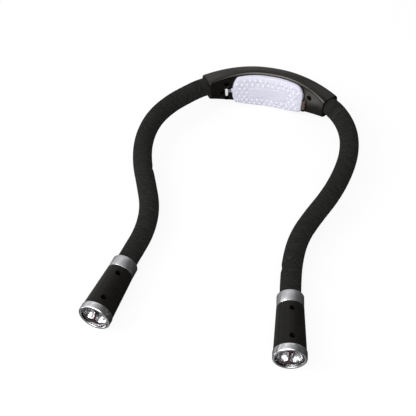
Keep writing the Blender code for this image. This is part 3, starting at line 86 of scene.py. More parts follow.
# %% Camera
VIEW_DOWN, VIEW_TURN = math.radians(48.0), math.radians(13.7)
FOCAL_LENGTH, SENSOR_WIDTH = 80.48, 36.0
CAMERA_PLACE = Vector((0.10275, -0.67656, 0.5986))
MIDDLE = Vector((0, -0.13, 0.02))
ahead = Vector((
    -math.sin(VIEW_TURN) * math.cos(VIEW_DOWN),
    math.cos(VIEW_TURN) * math.cos(VIEW_DOWN),
    -math.sin(VIEW_DOWN),
))
sideways = Vector((math.cos(VIEW_TURN), math.sin(VIEW_TURN), 0.0))
lens_data = bpy.data.cameras.new("camera")
lens_data.lens = FOCAL_LENGTH
lens_data.sensor_width = SENSOR_WIDTH
camera = add_object("camera", lens_data)
camera.matrix_world = frame_at(CAMERA_PLACE, sideways, sideways.cross(ahead), -ahead)
bpy.context.scene.camera = camera
bpy.context.scene.view_settings.view_transform = "Standard"
print("camera distance to the middle:", round((camera.location - MIDDLE).length, 3))

# %% [markdown]
# ## A helper for node trees
# Shader and geometry trees are wired in the same way: make a node, set its options, then give each input
# either a plain value or another node's output. Here an output is a wire. Sums with wires are written like
# sums with numbers, which keeps every tree below short.

# %% Node helpers
class Wire:
    """One output of a node; its operators and methods add the nodes that it feeds."""

    def __init__(self, socket):
        self.socket = socket

    def __getitem__(self, key):
        """Another output of the same node."""
        return Wire(self.socket.node.outputs[key])

    def new(self, kind, inputs, **options):
        return node(self.socket.id_data, kind, inputs, **options)

    def maths(self, operation, *others):
        return self.new("ShaderNodeMath", dict(enumerate((self, *others))), operation=operation)

    def __add__(self, other):
        return self.maths("ADD", other)

    def __sub__(self, other):
        return self.maths("SUBTRACT", other)

    def __mul__(self, other):
        return self.maths("MULTIPLY", other)

    def __truediv__(self, other):
        return self.maths("DIVIDE", other)

    def hypot(self, other):
        return (self * self + other * other).maths("SQRT")

    def mapped(self, *limits, kind="LINEAR"):
        """The range between the first two limits spread over that between the last two."""
        return self.new("ShaderNodeMapRange", dict(enumerate((self, *limits))), interpolation_type=kind)

    def mixed(self, first, second):
        return self.new("ShaderNodeMix", {0: self, 2: first, 3: second}, data_type="FLOAT")

    def tinted(self, first, second):
        return self.new("ShaderNodeMix", {0: self, 6: first, 7: second}, data_type="RGBA")[2]

    def scaled(self, factor):
        return self.new("ShaderNodeVectorMath", {0: self, "Scale": factor}, operation="SCALE")

    def noise(self, scale, detail):
        return self.new("ShaderNodeTexNoise", {"Vector": self, "Scale": scale, "Detail": detail})["Fac"]

    def ramp(self, *stops):
        """A grey ramp through stops of (place, level)."""
        made = self.new("ShaderNodeValToRGB", {"Fac": self})
        elements = made.socket.node.color_ramp.elements
        elements.remove(elements[-1])
        for k, (place, level) in enumerate(stops):
            element = elements[0] if k == 0 else elements.new(place)
            element.position = place
            element.color = (level, level, level, 1.0)
        return made


def plug(made, inputs):
    """Give a node's inputs their values or wires; a list is several wires to one input."""
    for key, value in inputs.items():
        for item in value if isinstance(value, list) else [value]:
            if isinstance(item, Wire):
                made.id_data.links.new(item.socket, made.inputs[key])
            else:
                made.inputs[key].default_value = item


def node(tree, kind, inputs=None, **options):
    made = tree.nodes.new(kind)
    for key, value in options.items():
        setattr(made, key, value)
    plug(made, inputs or {})
    return Wire(made.outputs[0]) if len(made.outputs) else None


def combined(tree, x=0.0, y=0.0, z=0.0):
    return node(tree, "ShaderNodeCombineXYZ", {0: x, 1: y, 2: z})


def emptied(owner):
    """The node tree of a material or world with nothing in it."""
    owner.use_nodes = True
    owner.node_tree.nodes.clear()
    return owner.node_tree


# %% [markdown]
# ## Stage and light
# The light lies on a plain white sweep. The floor is an ordinary white surface for every ray that lights the
# object and mostly plain white for the camera, so that a soft shadow stays. Gloss, metal and glass see the
# studio round it instead: light on the left and overhead, dark on the right, as a tent open on one side.
# That draws the long light and dark bands on the turned metal.

# %% Floor
FLOOR_SIZE, FLOOR_DROP = 4.0, 0.1 * MM
WHITE = (1.0, 1.0, 1.0, 1.0)


def looking_rays(tree):
    """Camera rays, and the rays that mirrors and glass send on."""
    path = node(tree, "ShaderNodeLightPath")
    return path["Is Camera Ray"], path["Is Glossy Ray"].maths("MAXIMUM", path["Is Transmission Ray"])


floor_paint = bpy.data.materials.new("floor_paint")
tree = emptied(floor_paint)
seen, mirrored = looking_rays(tree)
matt = node(tree, "ShaderNodeBsdfDiffuse", {"Color": (0.86, 0.86, 0.87, 1.0)})
glow = node(tree, "ShaderNodeEmission", {"Color": WHITE, "Strength": 1.03})
pale = node(tree, "ShaderNodeMixShader", {0: seen * 0.88, 1: matt, 2: glow})
clear = node(tree, "ShaderNodeBsdfTransparent")
node(tree, "ShaderNodeOutputMaterial", {
    "Surface": node(tree, "ShaderNodeMixShader", {0: mirrored, 1: pale, 2: clear})})

bm = bmesh.new()
bmesh.ops.create_grid(bm, x_segments=8, y_segments=8, size=FLOOR_SIZE)
bmesh.ops.translate(bm, vec=(0.0, 0.0, -FLOOR_DROP), verts=bm.verts)
floor_mesh = bpy.data.meshes.new("floor")
bm.to_mesh(floor_mesh)
bm.free()
floor_mesh.materials.append(floor_paint)
floor = add_object("floor", floor_mesh)

# %% World and lamps
SIDE_LEVELS = (
    (0.0, 0.90), (0.24, 0.90), (0.34, 0.76), (0.42, 0.58), (0.50, 0.46), (0.60, 0.34), (0.80, 0.12), (1.0, 0.10),
)
RISE_LEVELS = (
    (0.0, 0.10), (0.12, 0.12), (0.20, 0.20), (0.26, 0.34), (0.31, 0.45), (0.40, 0.45), (0.50, 0.60), (0.60, 1.0),
    (0.70, 0.62), (0.85, 0.95),
)
# White cards, for gloss alone, as direction, where their edge starts and ends, and strength
CARDS = (
    ((-0.78, -0.49, -0.37), 0.974, 0.997, 2.0), ((-0.87, -0.33, -0.37), 0.974, 0.997, 0.5),
    ((-0.06, -0.62, -0.78), 0.90, 0.98, 0.3), ((-0.10, -0.74, 0.66), 0.76, 0.95, 3.6),
)
FILL_LEVEL = 0.56
# Softboxes as place, aim, width, height and power
SOFTBOXES = {
    "left_softbox": ((-0.85, -0.45, 0.70), (0.0, -0.10, 0.0), 0.35, 0.6, 5.0),
    "front_softbox": ((-0.15, -0.95, 0.85), (0.0, -0.05, 0.0), 0.8, 0.5, 4.5),
    "back_softbox": ((-0.20, 0.80, 0.75), (0.0, 0.0, 0.0), 1.2, 0.5, 0.6),
}
world = bpy.data.worlds.new("studio")
bpy.context.scene.world = world
tree = emptied(world)
direction = node(tree, "ShaderNodeTexCoord")["Generated"]
spot = node(tree, "ShaderNodeSeparateXYZ", {0: direction})
sides = spot["X"].maths("MULTIPLY_ADD", 0.5, 0.5).ramp(*SIDE_LEVELS)
rise = spot["Z"].maths("MULTIPLY_ADD", 0.5, 0.5).ramp(*RISE_LEVELS)
cards = []
for toward, outer, inner, strength in CARDS:
    facing = node(tree, "ShaderNodeVectorMath", {
        0: direction, 1: Vector(toward).normalized()}, operation="DOT_PRODUCT")["Value"]
    cards.append(facing.mapped(outer, inner, 0.0, strength, kind="SMOOTHSTEP"))
gloss = node(tree, "ShaderNodeLightPath")["Is Glossy Ray"]
tent = sides * rise + sum(cards[1:], cards[0]) * gloss
seen, mirrored = looking_rays(tree)
level = mirrored.mixed(seen.mixed(FILL_LEVEL, 1.0), tent)
node(tree, "ShaderNodeOutputWorld", {
    "Surface": node(tree, "ShaderNodeBackground", {"Color": WHITE, "Strength": level})})

for name, (place, aim, width, height, power) in SOFTBOXES.items():
    data = bpy.data.lights.new(name, "AREA")
    data.shape = "RECTANGLE"
    data.size, data.size_y, data.energy = width, height, power
    lamp = add_object(name, data)
    lamp.location = place
    lamp.rotation_euler = (Vector(aim) - Vector(place)).to_track_quat("-Z", "Y").to_euler()

# %% [markdown]
# ## Finishes
# No real surface is one flat colour. Each finish starts as a Principled shader and gets a mottled colour, an
# uneven roughness and a fine relief, all from noise on the object's own coordinates, so that the pattern is
# fixed to the piece and stays with it when a joint turns. Brushed metal takes its noise from the UV map of
# the turned profile, stretched along the circle.

# %% A helper for finishes
def finish(
    name, dark, light, roughness, metallic=0.0, mottle=220.0, grain=2500.0, relief=0.02, stretch=None, **more
):
    """A Principled material; its relief is in millimetres, and more is other inputs as input_name=value."""
    material = bpy.data.materials.new(name)
    material.use_nodes = True
    tree = material.node_tree
    place = node(tree, "ShaderNodeTexCoord")["UV" if stretch else "Object"]
    if stretch:
        place = node(tree, "ShaderNodeMapping", {"Vector": place, "Scale": stretch})
    cloud, fine = place.noise(mottle, 3.0), place.noise(grain, 2.0)
    plug(tree.nodes["Principled BSDF"], {
        "Metallic": metallic,
        "Base Color": cloud.tinted((*dark, 1.0), (*light, 1.0)),
        "Roughness": cloud.mapped(0.3, 0.7, *roughness),
        "Normal": node(tree, "ShaderNodeBump", {"Height": fine, "Distance": relief * MM, "Strength": 1.0}),
        **{key.replace("_", " "): value for key, value in more.items()},
    })
    return material


def grey(level):
    return (level, level, level)


def fed(shader, name):
    """The wire that feeds an input of a shader."""
    return Wire(shader.inputs[name].links[0].from_socket)


# %% The finishes of this light
shell_gloss = finish(
    "shell_gloss", (0.006, 0.005, 0.004), (0.010, 0.0085, 0.007), (0.16, 0.26), relief=0.002, grain=900.0,
    Specular_IOR_Level=0.42, Specular_Tint=(1.0, 0.95, 0.90, 1.0))
barrel_gloss = finish(
    "barrel_gloss", (0.006, 0.006, 0.005), (0.011, 0.010, 0.009), (0.24, 0.34), relief=0.004, grain=1400.0,
    Specular_IOR_Level=0.15)

# The foam's ribs follow the length along the arm. Their base colour carries painted shade in the creases and
# painted highlight on the ribs, strongest near the collar
RIBS, RIB_DRIFT, BUNCHED_LENGTH = 760.0, 9.0, 40.0 * MM
foam = finish(
    "foam", (0.009, 0.009, 0.0085), (0.021, 0.021, 0.0195), (0.86, 0.98), mottle=420.0, grain=1900.0,
    relief=0.22, Specular_IOR_Level=0.1)
tree = foam.node_tree
shader = tree.nodes["Principled BSDF"]
run = node(tree, "ShaderNodeAttribute", attribute_name="run")["Fac"]
drift = node(tree, "ShaderNodeTexCoord")["Object"].noise(110.0, 1.0)
ribs = node(tree, "ShaderNodeTexNoise", {
    "W": run * RIBS + drift * RIB_DRIFT, "Scale": 1.0, "Detail": 2.0}, noise_dimensions="1D")["Fac"]
# Painted shade and highlight: the rib noise darkens the creases and lightens the ribs in the base colour
rib_shade_and_highlight = run.mapped(0.0, BUNCHED_LENGTH, 1.0, 0.35).mixed(1.0, ribs.mapped(0.36, 0.62, 0.35, 2.2))
plug(shader, {
    "Base Color": fed(shader, "Base Color").scaled(rib_shade_and_highlight),
    "Normal": node(tree, "ShaderNodeBump", {
        "Height": ribs, "Distance": 0.9 * MM, "Normal": fed(shader, "Normal")}),
})

gel = finish(
    "gel", (0.71, 0.70, 0.81), (0.76, 0.75, 0.86), (0.42, 0.54), mottle=160.0, grain=900.0, relief=0.01,
    Subsurface_Weight=0.2, Subsurface_Radius=(1.0, 0.9, 1.1), Subsurface_Scale=0.6 * MM)
shader = gel.node_tree.nodes["Principled BSDF"]
nub = node(gel.node_tree, "ShaderNodeAttribute", attribute_name="nub")["Fac"]
# Nub tops are tinted whiter than the pad between them: partly thicker translucent gel, partly painted highlight on
# the nubs
plug(shader, {"Base Color": nub.tinted(fed(shader, "Base Color"), (0.86, 0.85, 0.94, 1.0))})

satin_aluminium = finish(
    "satin_aluminium", (0.56, 0.56, 0.58), (0.66, 0.66, 0.68), (0.26, 0.36), 1.0, 1.0, 1.0,
    relief=0.004, stretch=(40.0, 2600.0, 1.0))
polished_aluminium = finish(
    "polished_aluminium", (0.72, 0.72, 0.74), (0.80, 0.80, 0.82), (0.10, 0.18), 1.0, 1.0, 1.0,
    relief=0.001, stretch=(30.0, 1800.0, 1.0))
chrome = finish("chrome", (0.60, 0.60, 0.62), (0.70, 0.69, 0.71), (0.13, 0.22), 1.0, relief=0.006, grain=700.0)
bright_plate = finish("bright_plate", (0.88, 0.88, 0.89), (0.96, 0.96, 0.97), (0.24, 0.36), relief=0.003)
grey_plate = finish("grey_plate", (0.20, 0.20, 0.21), (0.28, 0.28, 0.29), (0.3, 0.42), 0.2, relief=0.003)
steel = finish("steel", grey(0.36), grey(0.50), (0.25, 0.42), 1.0, relief=0.006)
# Near-black steel: on the screws it is partly black oxide and partly painted shade, so that their holes read dark
dark_steel = finish("dark_steel", (0.004, 0.0035, 0.003), (0.012, 0.010, 0.008), (0.3, 0.5), 1.0, relief=0.01)
hinge_beige = finish("hinge_beige", (0.10, 0.067, 0.056), (0.14, 0.098, 0.084), (0.35, 0.5), mottle=400.0)
brass = finish("brass", (0.55, 0.38, 0.16), (0.68, 0.49, 0.22), (0.25, 0.4), 1.0, relief=0.006)
board_green = finish("board_green", (0.015, 0.09, 0.035), (0.03, 0.15, 0.06), (0.35, 0.55), mottle=600.0)
black_plastic = finish("black_plastic", grey(0.014), grey(0.024), (0.38, 0.52))
cell_sleeve = finish("cell_sleeve", (0.25, 0.20, 0.07), (0.34, 0.28, 0.10), (0.28, 0.4), mottle=90.0)
slit_red = finish(
    "slit_red", (0.020, 0.003, 0.005), (0.060, 0.007, 0.012), (0.5, 0.7), Specular_IOR_Level=0.08)
led_resin = finish("led_resin", (0.78, 0.70, 0.34), (0.90, 0.84, 0.52), (0.15, 0.3), relief=0.003)
clear_lens = finish(
    "clear_lens", (0.97, 0.98, 0.99), grey(1.0), (0.0, 0.03), relief=0.0005, grain=500.0,
    Transmission_Weight=1.0, IOR=1.46)
print("finishes:", len(bpy.data.materials))

# %% [markdown]
# ## Mesh helpers
# Three ways of making a closed body cover nearly every rigid piece: rings joined in a row, a profile turned
# about an axis, and a bevelled block. Booleans then open pockets and holes, with all the cutters of one
# piece in one collection.

# %% Bodies from rings, profiles and blocks
MERGE = 0.002 * MM
SHARP = 35.0
# The radius for which the UV map of a turned body is laid out
MAP_RADIUS = 11.0 * MM


def smooth(item, sharp=SHARP):
    item.data.shade_smooth()
    item.data.set_sharp_from_angle(angle=math.radians(sharp))
    return item


def tidy(bm):
    bmesh.ops.remove_doubles(bm, verts=bm.verts, dist=MERGE)
    bmesh.ops.recalc_face_normals(bm, faces=bm.faces)


def finished(name, bm, material, sharp=SHARP):
    """A mesh object with outward faces and soft shading up to an angle."""
    tidy(bm)
    mesh = bpy.data.meshes.new(name)
    bm.to_mesh(mesh)
    bm.free()
    if material:
        mesh.materials.append(material)
    return smooth(add_object(name, mesh), sharp)


def close_rows(bm, rows):
    """Faces from each ring of points to the next, and one over each end."""
    for near, far in zip(rows, rows[1:]):
        for i in range(len(near)):
            j = (i + 1) % len(near)
            bm.faces.new((near[i], near[j], far[j], far[i]))
    bm.faces.new(rows[0])
    bm.faces.new(rows[-1])


def ring_body(name, rings, material=None):
    bm = bmesh.new()
    close_rows(bm, [[bm.verts.new(point) for point in ring] for ring in rings])
    return finished(name, bm, material)


def turned_body(name, profile, matrix, material=None, steps=96, sharp=SHARP):
    """A profile of (radius, height) turned about the local Z axis, with a UV map in metres for brushed metal."""
    bm = bmesh.new()
    uv = bm.loops.layers.uv.new("UVMap")
    rows = []
    for radius, height in profile:
        if radius == 0:
            rows.append([bm.verts.new((0, 0, height))] * steps)
            continue
        angles = [2 * math.pi * i / steps for i in range(steps)]
        rows.append([bm.verts.new((radius * math.cos(a), radius * math.sin(a), height)) for a in angles])
    closed = profile[0][0] > 0
    for k in range(len(profile) if closed else len(profile) - 1):
        near, far = rows[k], rows[(k + 1) % len(rows)]
        (r0, z0), (r1, z1) = profile[k], profile[(k + 1) % len(profile)]
        v0, v1 = (z0, z1) if abs(z1 - z0) > abs(r1 - r0) else (r0, r1)
        for i in range(steps):
            j = (i + 1) % steps
            corners = {}
            for vert, turn, v in ((near[i], i, v0), (near[j], i + 1, v0), (far[j], i + 1, v1), (far[i], i, v1)):
                corners.setdefault(vert, (turn / steps * 2 * math.pi * MAP_RADIUS, v))
            face = bm.faces.new(list(corners))
            for loop in face.loops:
                loop[uv].uv = corners[loop.vert]
    bmesh.ops.transform(bm, matrix=matrix, verts=bm.verts)
    return finished(name, bm, material, sharp)


def block_body(name, low, high, matrix, material=None, bevel=0.0):
    low, high = Vector(low), Vector(high)
    bm = bmesh.new()
    bmesh.ops.create_cube(bm, size=1.0)
    bmesh.ops.scale(bm, vec=high - low, verts=bm.verts)
    bmesh.ops.translate(bm, vec=(low + high) / 2, verts=bm.verts)
    if bevel:
        edges = bm.verts[:] + bm.edges[:]
        bmesh.ops.bevel(bm, geom=edges, offset=bevel, segments=3, affect="EDGES", profile=0.5)
    bmesh.ops.transform(bm, matrix=matrix, verts=bm.verts)
    return finished(name, bm, material)


def rod_body(name, start, end, radius, material=None):
    turn = (end - start).to_track_quat("Z", "Y").to_matrix().to_4x4()
    length = (end - start).length
    profile = [(0, 0), (radius, 0), (radius, length), (0, length)]
    return turned_body(name, profile, Matrix.Translation(start) @ turn, material, steps=48)


# %% Booleans
def plain(item):
    """An item with its evaluated mesh, its modifiers done with."""
    graph = bpy.context.evaluated_depsgraph_get()
    graph.update()
    mesh = bpy.data.meshes.new_from_object(item.evaluated_get(graph))
    item.modifiers.clear()
    item.data = mesh
    return item


def discard(*items):
    for item in items:
        bpy.data.objects.remove(item, do_unlink=True)


def boolean(item, operation, cutters, sharp=SHARP):
    group = bpy.data.collections.new("cutters")
    bpy.context.scene.collection.children.link(group)
    for cutter in cutters:
        group.objects.link(cutter)
    change = item.modifiers.new("boolean", "BOOLEAN")
    change.operation = operation
    change.solver = "EXACT"
    change.operand_type = "COLLECTION"
    change.collection = group
    plain(item)
    discard(*cutters)
    bpy.data.collections.remove(group)
    return smooth(item, sharp)


def keep_inside(item, region):
    change = item.modifiers.new("keep", "BOOLEAN")
    change.operation = "INTERSECT"
    change.solver = "EXACT"
    change.object = region
    plain(item)
    discard(region)
    return item


def paint(item, matrix, choose):
    """Set the finish of each face for which a rule names one, from the face's middle seen from a frame."""
    into = matrix.inverted()
    for face in item.data.polygons:
        index = choose(into @ face.center)
        if index is not None:
            face.material_index = index


# %% [markdown]
# ## The neckpiece's section
# Seen from its end, the neckpiece is a rounded four-sided shape: a leaning inner face that meets the neck,
# a sharp ridge above it, a soft back and a flat foot. Towards each end it shrinks into a collar for the foam
# arm. One rule gives the section at any angle of the arc, and each shell is that section swept round.

# %% Section rule
ARC_RADIUS = 97.0 * MM
NECK_DEPTH, NECK_HEIGHT = 21.6 * MM, 36.0 * MM
HALF_ANGLE = 0.654109
AXIS_HEIGHT = 20.0 * MM
FACE_ARC_RADIUS = ARC_RADIUS - NECK_DEPTH / 2
FACE_CROWN = 0.8 * MM
WALL, FACE_WALL = 1.5 * MM, 2.6 * MM
GAP = 0.3 * MM
OVER = 3.0 * MM
STATIONS = 112
FILLET_STEPS, FACE_STEPS = 8, 10
# Corners as offset from the arc, height and fillet: foot, ridge, back top and back foot
MIDDLE_SECTION = mm((-10.8, 0.0, 4.0), (-5.8, 36.0, 3.0), (8.6, 33.0, 6.5), (10.8, 0.0, 5.0))
COLLAR_SECTION = mm((-10.1, 10.3, 4.0), (-8.9, 29.7, 2.8), (9.3, 28.9, 5.0), (10.1, 10.3, 5.0))
# The section starts to shrink at this share of the way to the end, over this share, faster and faster
SHRINK_START, SHRINK_SPAN, SHRINK_POWER = 0.18, 0.82, 1.6


def mix(near, far, share):
    return near + (far - near) * share


def clamped(share):
    return min(1.0, max(0.0, share))


def on_arc(angle, offset, height):
    radius = ARC_RADIUS + offset
    return Vector((radius * math.sin(angle), radius * math.cos(angle) - ARC_RADIUS, height))


def section(angle):
    share = clamped((abs(angle) / HALF_ANGLE - SHRINK_START) / SHRINK_SPAN) ** SHRINK_POWER
    return [
        tuple(mix(a, b, share) for a, b in zip(near, far)) for near, far in zip(MIDDLE_SECTION, COLLAR_SECTION)
    ]


def face_offset(angle, height):
    foot, ridge = section(angle)[:2]
    share = (height - foot[1]) / (ridge[1] - foot[1])
    inside = clamped(share)
    return mix(foot[0], ridge[0], share) - 4 * FACE_CROWN * inside * (1 - inside)


def back_offset(angle, height):
    top, foot = section(angle)[2:]
    return mix(foot[0], top[0], (height - foot[1]) / (top[1] - foot[1]))


# %% Rounded outlines and section rings
def crossing(point, along, other, towards):
    turn = along.x * towards.y - along.y * towards.x
    reach = ((other.x - point.x) * towards.y - (other.y - point.y) * towards.x) / turn
    return point + along * reach


def inset(corners, insets):
    """Corners moved in from each edge; edge i leaves corner i."""
    lines = []
    for i, corner in enumerate(corners):
        a, b = Vector(corner[:2]), Vector(corners[(i + 1) % len(corners)][:2])
        along = (b - a).normalized()
        lines.append((a + Vector((along.y, -along.x)) * insets[i], along))
    made = []
    for i, corner in enumerate(corners):
        fillet = max(corner[2] - max(insets[i - 1], insets[i]), 0.2 * MM)
        made.append((*crossing(*lines[i - 1], *lines[i]), fillet))
    return made


def rounded(corners, steps=FILLET_STEPS):
    points = []
    for i in range(len(corners)):
        before, here, after = (Vector(corners[k % len(corners)][:2]) for k in (i - 1, i, i + 1))
        back, forth = (before - here).normalized(), (after - here).normalized()
        half = back.angle(forth) / 2
        fillet = corners[i][2]
        centre = here + (back + forth).normalized() * (fillet / math.sin(half))
        first = here + back * (fillet / math.tan(half)) - centre
        last = here + forth * (fillet / math.tan(half)) - centre
        sweep = first.angle_signed(last)
        for k in range(steps + 1):
            points.append(centre + Matrix.Rotation(-sweep * k / steps, 2) @ first)
    return points


def section_ring(angle, insets=(0.0,) * 4):
    outline = rounded(inset(section(angle), insets))
    foot, ridge = outline[FILLET_STEPS], outline[FILLET_STEPS + 1]
    face = []
    for k in range(1, FACE_STEPS):
        share = k / FACE_STEPS
        place = foot.lerp(ridge, share)
        place.x -= 4 * FACE_CROWN * share * (1 - share)
        face.append(place)
    outline[FILLET_STEPS + 1:FILLET_STEPS + 1] = face
    return [on_arc(angle, point.x, point.y) for point in outline]


def stations(half, count=STATIONS):
    return [half * (2 * i / count - 1) for i in range(count + 1)]


# %% [markdown]
# A moulded collar never ends in a knife edge. The outside shell's last few rings step in along a quarter
# circle, which gives the lip that catches the light at both ends.

# %% Lofts along the arc
LIP, LIP_STEPS = 0.7 * MM, 5
END_WALL = 6.0 * MM
CAVITY_STATIONS = 64
PARTING_DEPTH = 4.2 * MM


def outer_loft(name, material=None):
    turns = [math.pi / 2 * k / LIP_STEPS for k in range(LIP_STEPS + 1)]
    ends = [(HALF_ANGLE - LIP * (1 - math.sin(t)) / ARC_RADIUS, LIP * (1 - math.cos(t))) for t in turns]
    rings = [section_ring(-angle, (step,) * 4) for angle, step in reversed(ends)]
    rings += [section_ring(angle) for angle in stations(HALF_ANGLE - 1.4 * LIP / ARC_RADIUS)]
    rings += [section_ring(angle, (step,) * 4) for angle, step in ends]
    return ring_body(name, rings, material)


def cavity_loft(name):
    half, walls = HALF_ANGLE - END_WALL / ARC_RADIUS, (FACE_WALL, WALL, WALL, WALL)
    return ring_body(name, [section_ring(angle, walls) for angle in stations(half, CAVITY_STATIONS)])


def neck_side(name, shift):
    """Everything on the neck's side of the parting line, which runs behind the inner face."""
    rings = []
    for angle in stations(HALF_ANGLE + math.radians(1)):
        foot, ridge = section(angle)[:2]
        lean = (ridge[0] - foot[0]) / (ridge[1] - foot[1])
        low, high = foot[1] - OVER, ridge[1] + OVER
        depth = PARTING_DEPTH + shift
        rings.append([
            on_arc(angle, -NECK_DEPTH, low), on_arc(angle, -NECK_DEPTH, high),
            on_arc(angle, ridge[0] + lean * OVER + depth, high),
            on_arc(angle, foot[0] - lean * OVER + depth, low),
        ])
    return ring_body(name, rings)


def end_frame(side):
    angle = HALF_ANGLE * SIDES[side]
    out = Vector((math.cos(angle), -math.sin(angle), 0.0)) * SIDES[side]
    return frame_at(on_arc(angle, 0.0, AXIS_HEIGHT), UP.cross(out), UP, out)


def face_frame(place, height):
    """X along the arc, Y up the face and Z out towards the neck."""
    angle = place / FACE_ARC_RADIUS
    origin = on_arc(angle, face_offset(angle, height), height)
    above = on_arc(angle, face_offset(angle, height + OVER), height + OVER)
    along = Vector((math.cos(angle), -math.sin(angle), 0.0))
    up = (above - origin).normalized()
    return frame_at(origin, along, up, along.cross(up))


# %% [markdown]
# ## Outer shell
# The back half of the case: the sweep, hollowed, cut away on the neck's side, with a round seat for each foam
# arm and a hole for each push button on the back.

# %% Outer shell
SLEEVE_RADIUS = 8.5 * MM
BUTTON_RADIUS = 3.2 * MM
BUTTON_HEIGHT = 14.0 * MM
BUTTON_ANGLE = 36.4 * MM / ARC_RADIUS


def arm_seat(side):
    """The seat for the sleeve with a flared mouth, and the hole behind it."""
    seat, over = (SLEEVE_RADIUS + GAP) / MM, OVER / MM
    profile = mm(
        (0, -8), (4.3, -8), (4.3, -3.6), (seat, -3.6), (seat, -0.6), (seat + 0.12, -0.2), (seat + 0.4, 0),
        (seat + 0.4, over), (0, over))
    return turned_body(f"seat_{side}", profile, end_frame(side))


def button_frame(side):
    angle = BUTTON_ANGLE * SIDES[side]
    out = Vector((math.sin(angle), math.cos(angle), 0.0))
    return frame_at(on_arc(angle, back_offset(angle, BUTTON_HEIGHT), BUTTON_HEIGHT), out.cross(UP), UP, out)


outer_shell = outer_loft("case_back", shell_gloss)
holes = [cavity_loft("cavity"), neck_side("front_half", GAP / 2), *(arm_seat(side) for side in SIDES)]
for side in SIDES:
    ends = (button_frame(side) @ Vector((0, 0, depth)) for depth in (-4 * MM, OVER))
    holes.append(rod_body("hole", *ends, BUTTON_RADIUS + GAP))
boolean(outer_shell, "DIFFERENCE", holes)
print("outer shell faces:", len(outer_shell.data.polygons))

# %% [markdown]
# ## Inner shell
# The half that meets the neck. It has the battery opening with its shallow door recess, the pocket of the
# silver latch, the counterbores of three screws and the hinge knuckles at the right of the door.

# %% Places on the inner face
DOOR_LEFT, DOOR_RIGHT = 35.6 * MM, 32.9 * MM
DOOR_BOTTOM, DOOR_TOP = 9.2 * MM, 31.0 * MM
DOOR_THICKNESS, DOOR_CORNER = 1.3 * MM, 3.0 * MM
PAD_LEFT, PAD_RIGHT = 34.9 * MM, 33.7 * MM
HINGE_FRAME = face_frame(35.496 * MM, 13.0 * MM)
HINGE_STANDOFF = 0.9 * MM
KNUCKLE_RADIUS, PIN_RADIUS = 1.7 * MM, 1.0 * MM
PIN_REACH = 9.3
LATCH_FRAME = face_frame(-41.149 * MM, 16.2 * MM)
# How far the latch's room goes on to the left of its closed place, in millimetres
LATCH_TRAVEL = 3.2
SCREW_SEATS = [face_frame(*place) for place in mm((39.496, 24.0), (-40.149, 24.6), (-40.149, 8.8))]
PRISM_FRONT, PRISM_CORNER_STEPS = 1.2 * MM, 6
SLAB_HALF_ANGLE, SLAB_STATIONS, SLAB_ROWS = 0.50, 96, 16
BAY_HALF_LENGTH, BAY_BOTTOM, BAY_TOP = 26 * MM, 10.2 * MM, 30 * MM


def prism(name, left, right, bottom, top, corner):
    corners = [(left, bottom, corner), (left, top, corner), (right, top, corner), (right, bottom, corner)]
    outline = rounded(corners, PRISM_CORNER_STEPS)
    depths = (-ARC_RADIUS / 2, PRISM_FRONT)
    return ring_body(name, [[Vector((p.x, y, p.y)) for p in outline] for y in depths])


def face_slab(name, front, back, material=None):
    rings = []
    heights = [mix(-OVER, NECK_HEIGHT + OVER, i / SLAB_ROWS) for i in range(SLAB_ROWS + 1)]
    for angle in stations(SLAB_HALF_ANGLE, SLAB_STATIONS):
        near = [on_arc(angle, face_offset(angle, h) - front, h) for h in heights]
        far = [on_arc(angle, face_offset(angle, h) + back, h) for h in reversed(heights)]
        rings.append(near + far)
    return ring_body(name, rings, material)


def door_outline(margin):
    return prism(
        "door_outline", -DOOR_LEFT - margin, DOOR_RIGHT + margin, DOOR_BOTTOM - margin, DOOR_TOP + margin,
        DOOR_CORNER + margin)


def knuckle(name, low, high, radius, material=None):
    """A rod on the hinge's axis from low to high, both in millimetres."""
    places = (HINGE_FRAME @ Vector((0, y * MM, HINGE_STANDOFF)) for y in (low, high))
    return rod_body(name, *places, radius, material)


def pin_bore():
    return knuckle("pin_bore", -PIN_REACH, PIN_REACH, PIN_RADIUS)


def paint_knuckles(item):
    """The barrels of the hinge are of a browner plastic than the case."""
    item.data.materials.append(hinge_beige)
    beige = len(item.data.materials) - 1

    def choose(place):
        round_pin = math.hypot(place.x, place.z - HINGE_STANDOFF) < KNUCKLE_RADIUS + MERGE
        return beige if round_pin and place.x > -0.5 * MM and -3.1 * MM < place.y < 6.4 * MM else None

    paint(item, HINGE_FRAME, choose)


# %% Inner shell
# The latch's rooms as their two corners
LATCH_ROOMS = {
    "latch_pocket": mm((-2.2 - LATCH_TRAVEL, -4.2, -1.3), (4.9, 4.2, 3.0)),
    "latch_slot": mm((-1.5 - LATCH_TRAVEL, -1.8, -6), (1.5, 1.8, 0)),
    "tab_room": mm((2.25, -2.5, -1.45), (6.15, 2.5, 0.15)),
}
SCREW_SEAT_PROFILE = mm(
    (0, -8), (1.3, -8), (1.3, -2.1), (2.5, -2.1), (2.5, -0.2), (2.75, 0.05), (2.75, 3), (0, 3))

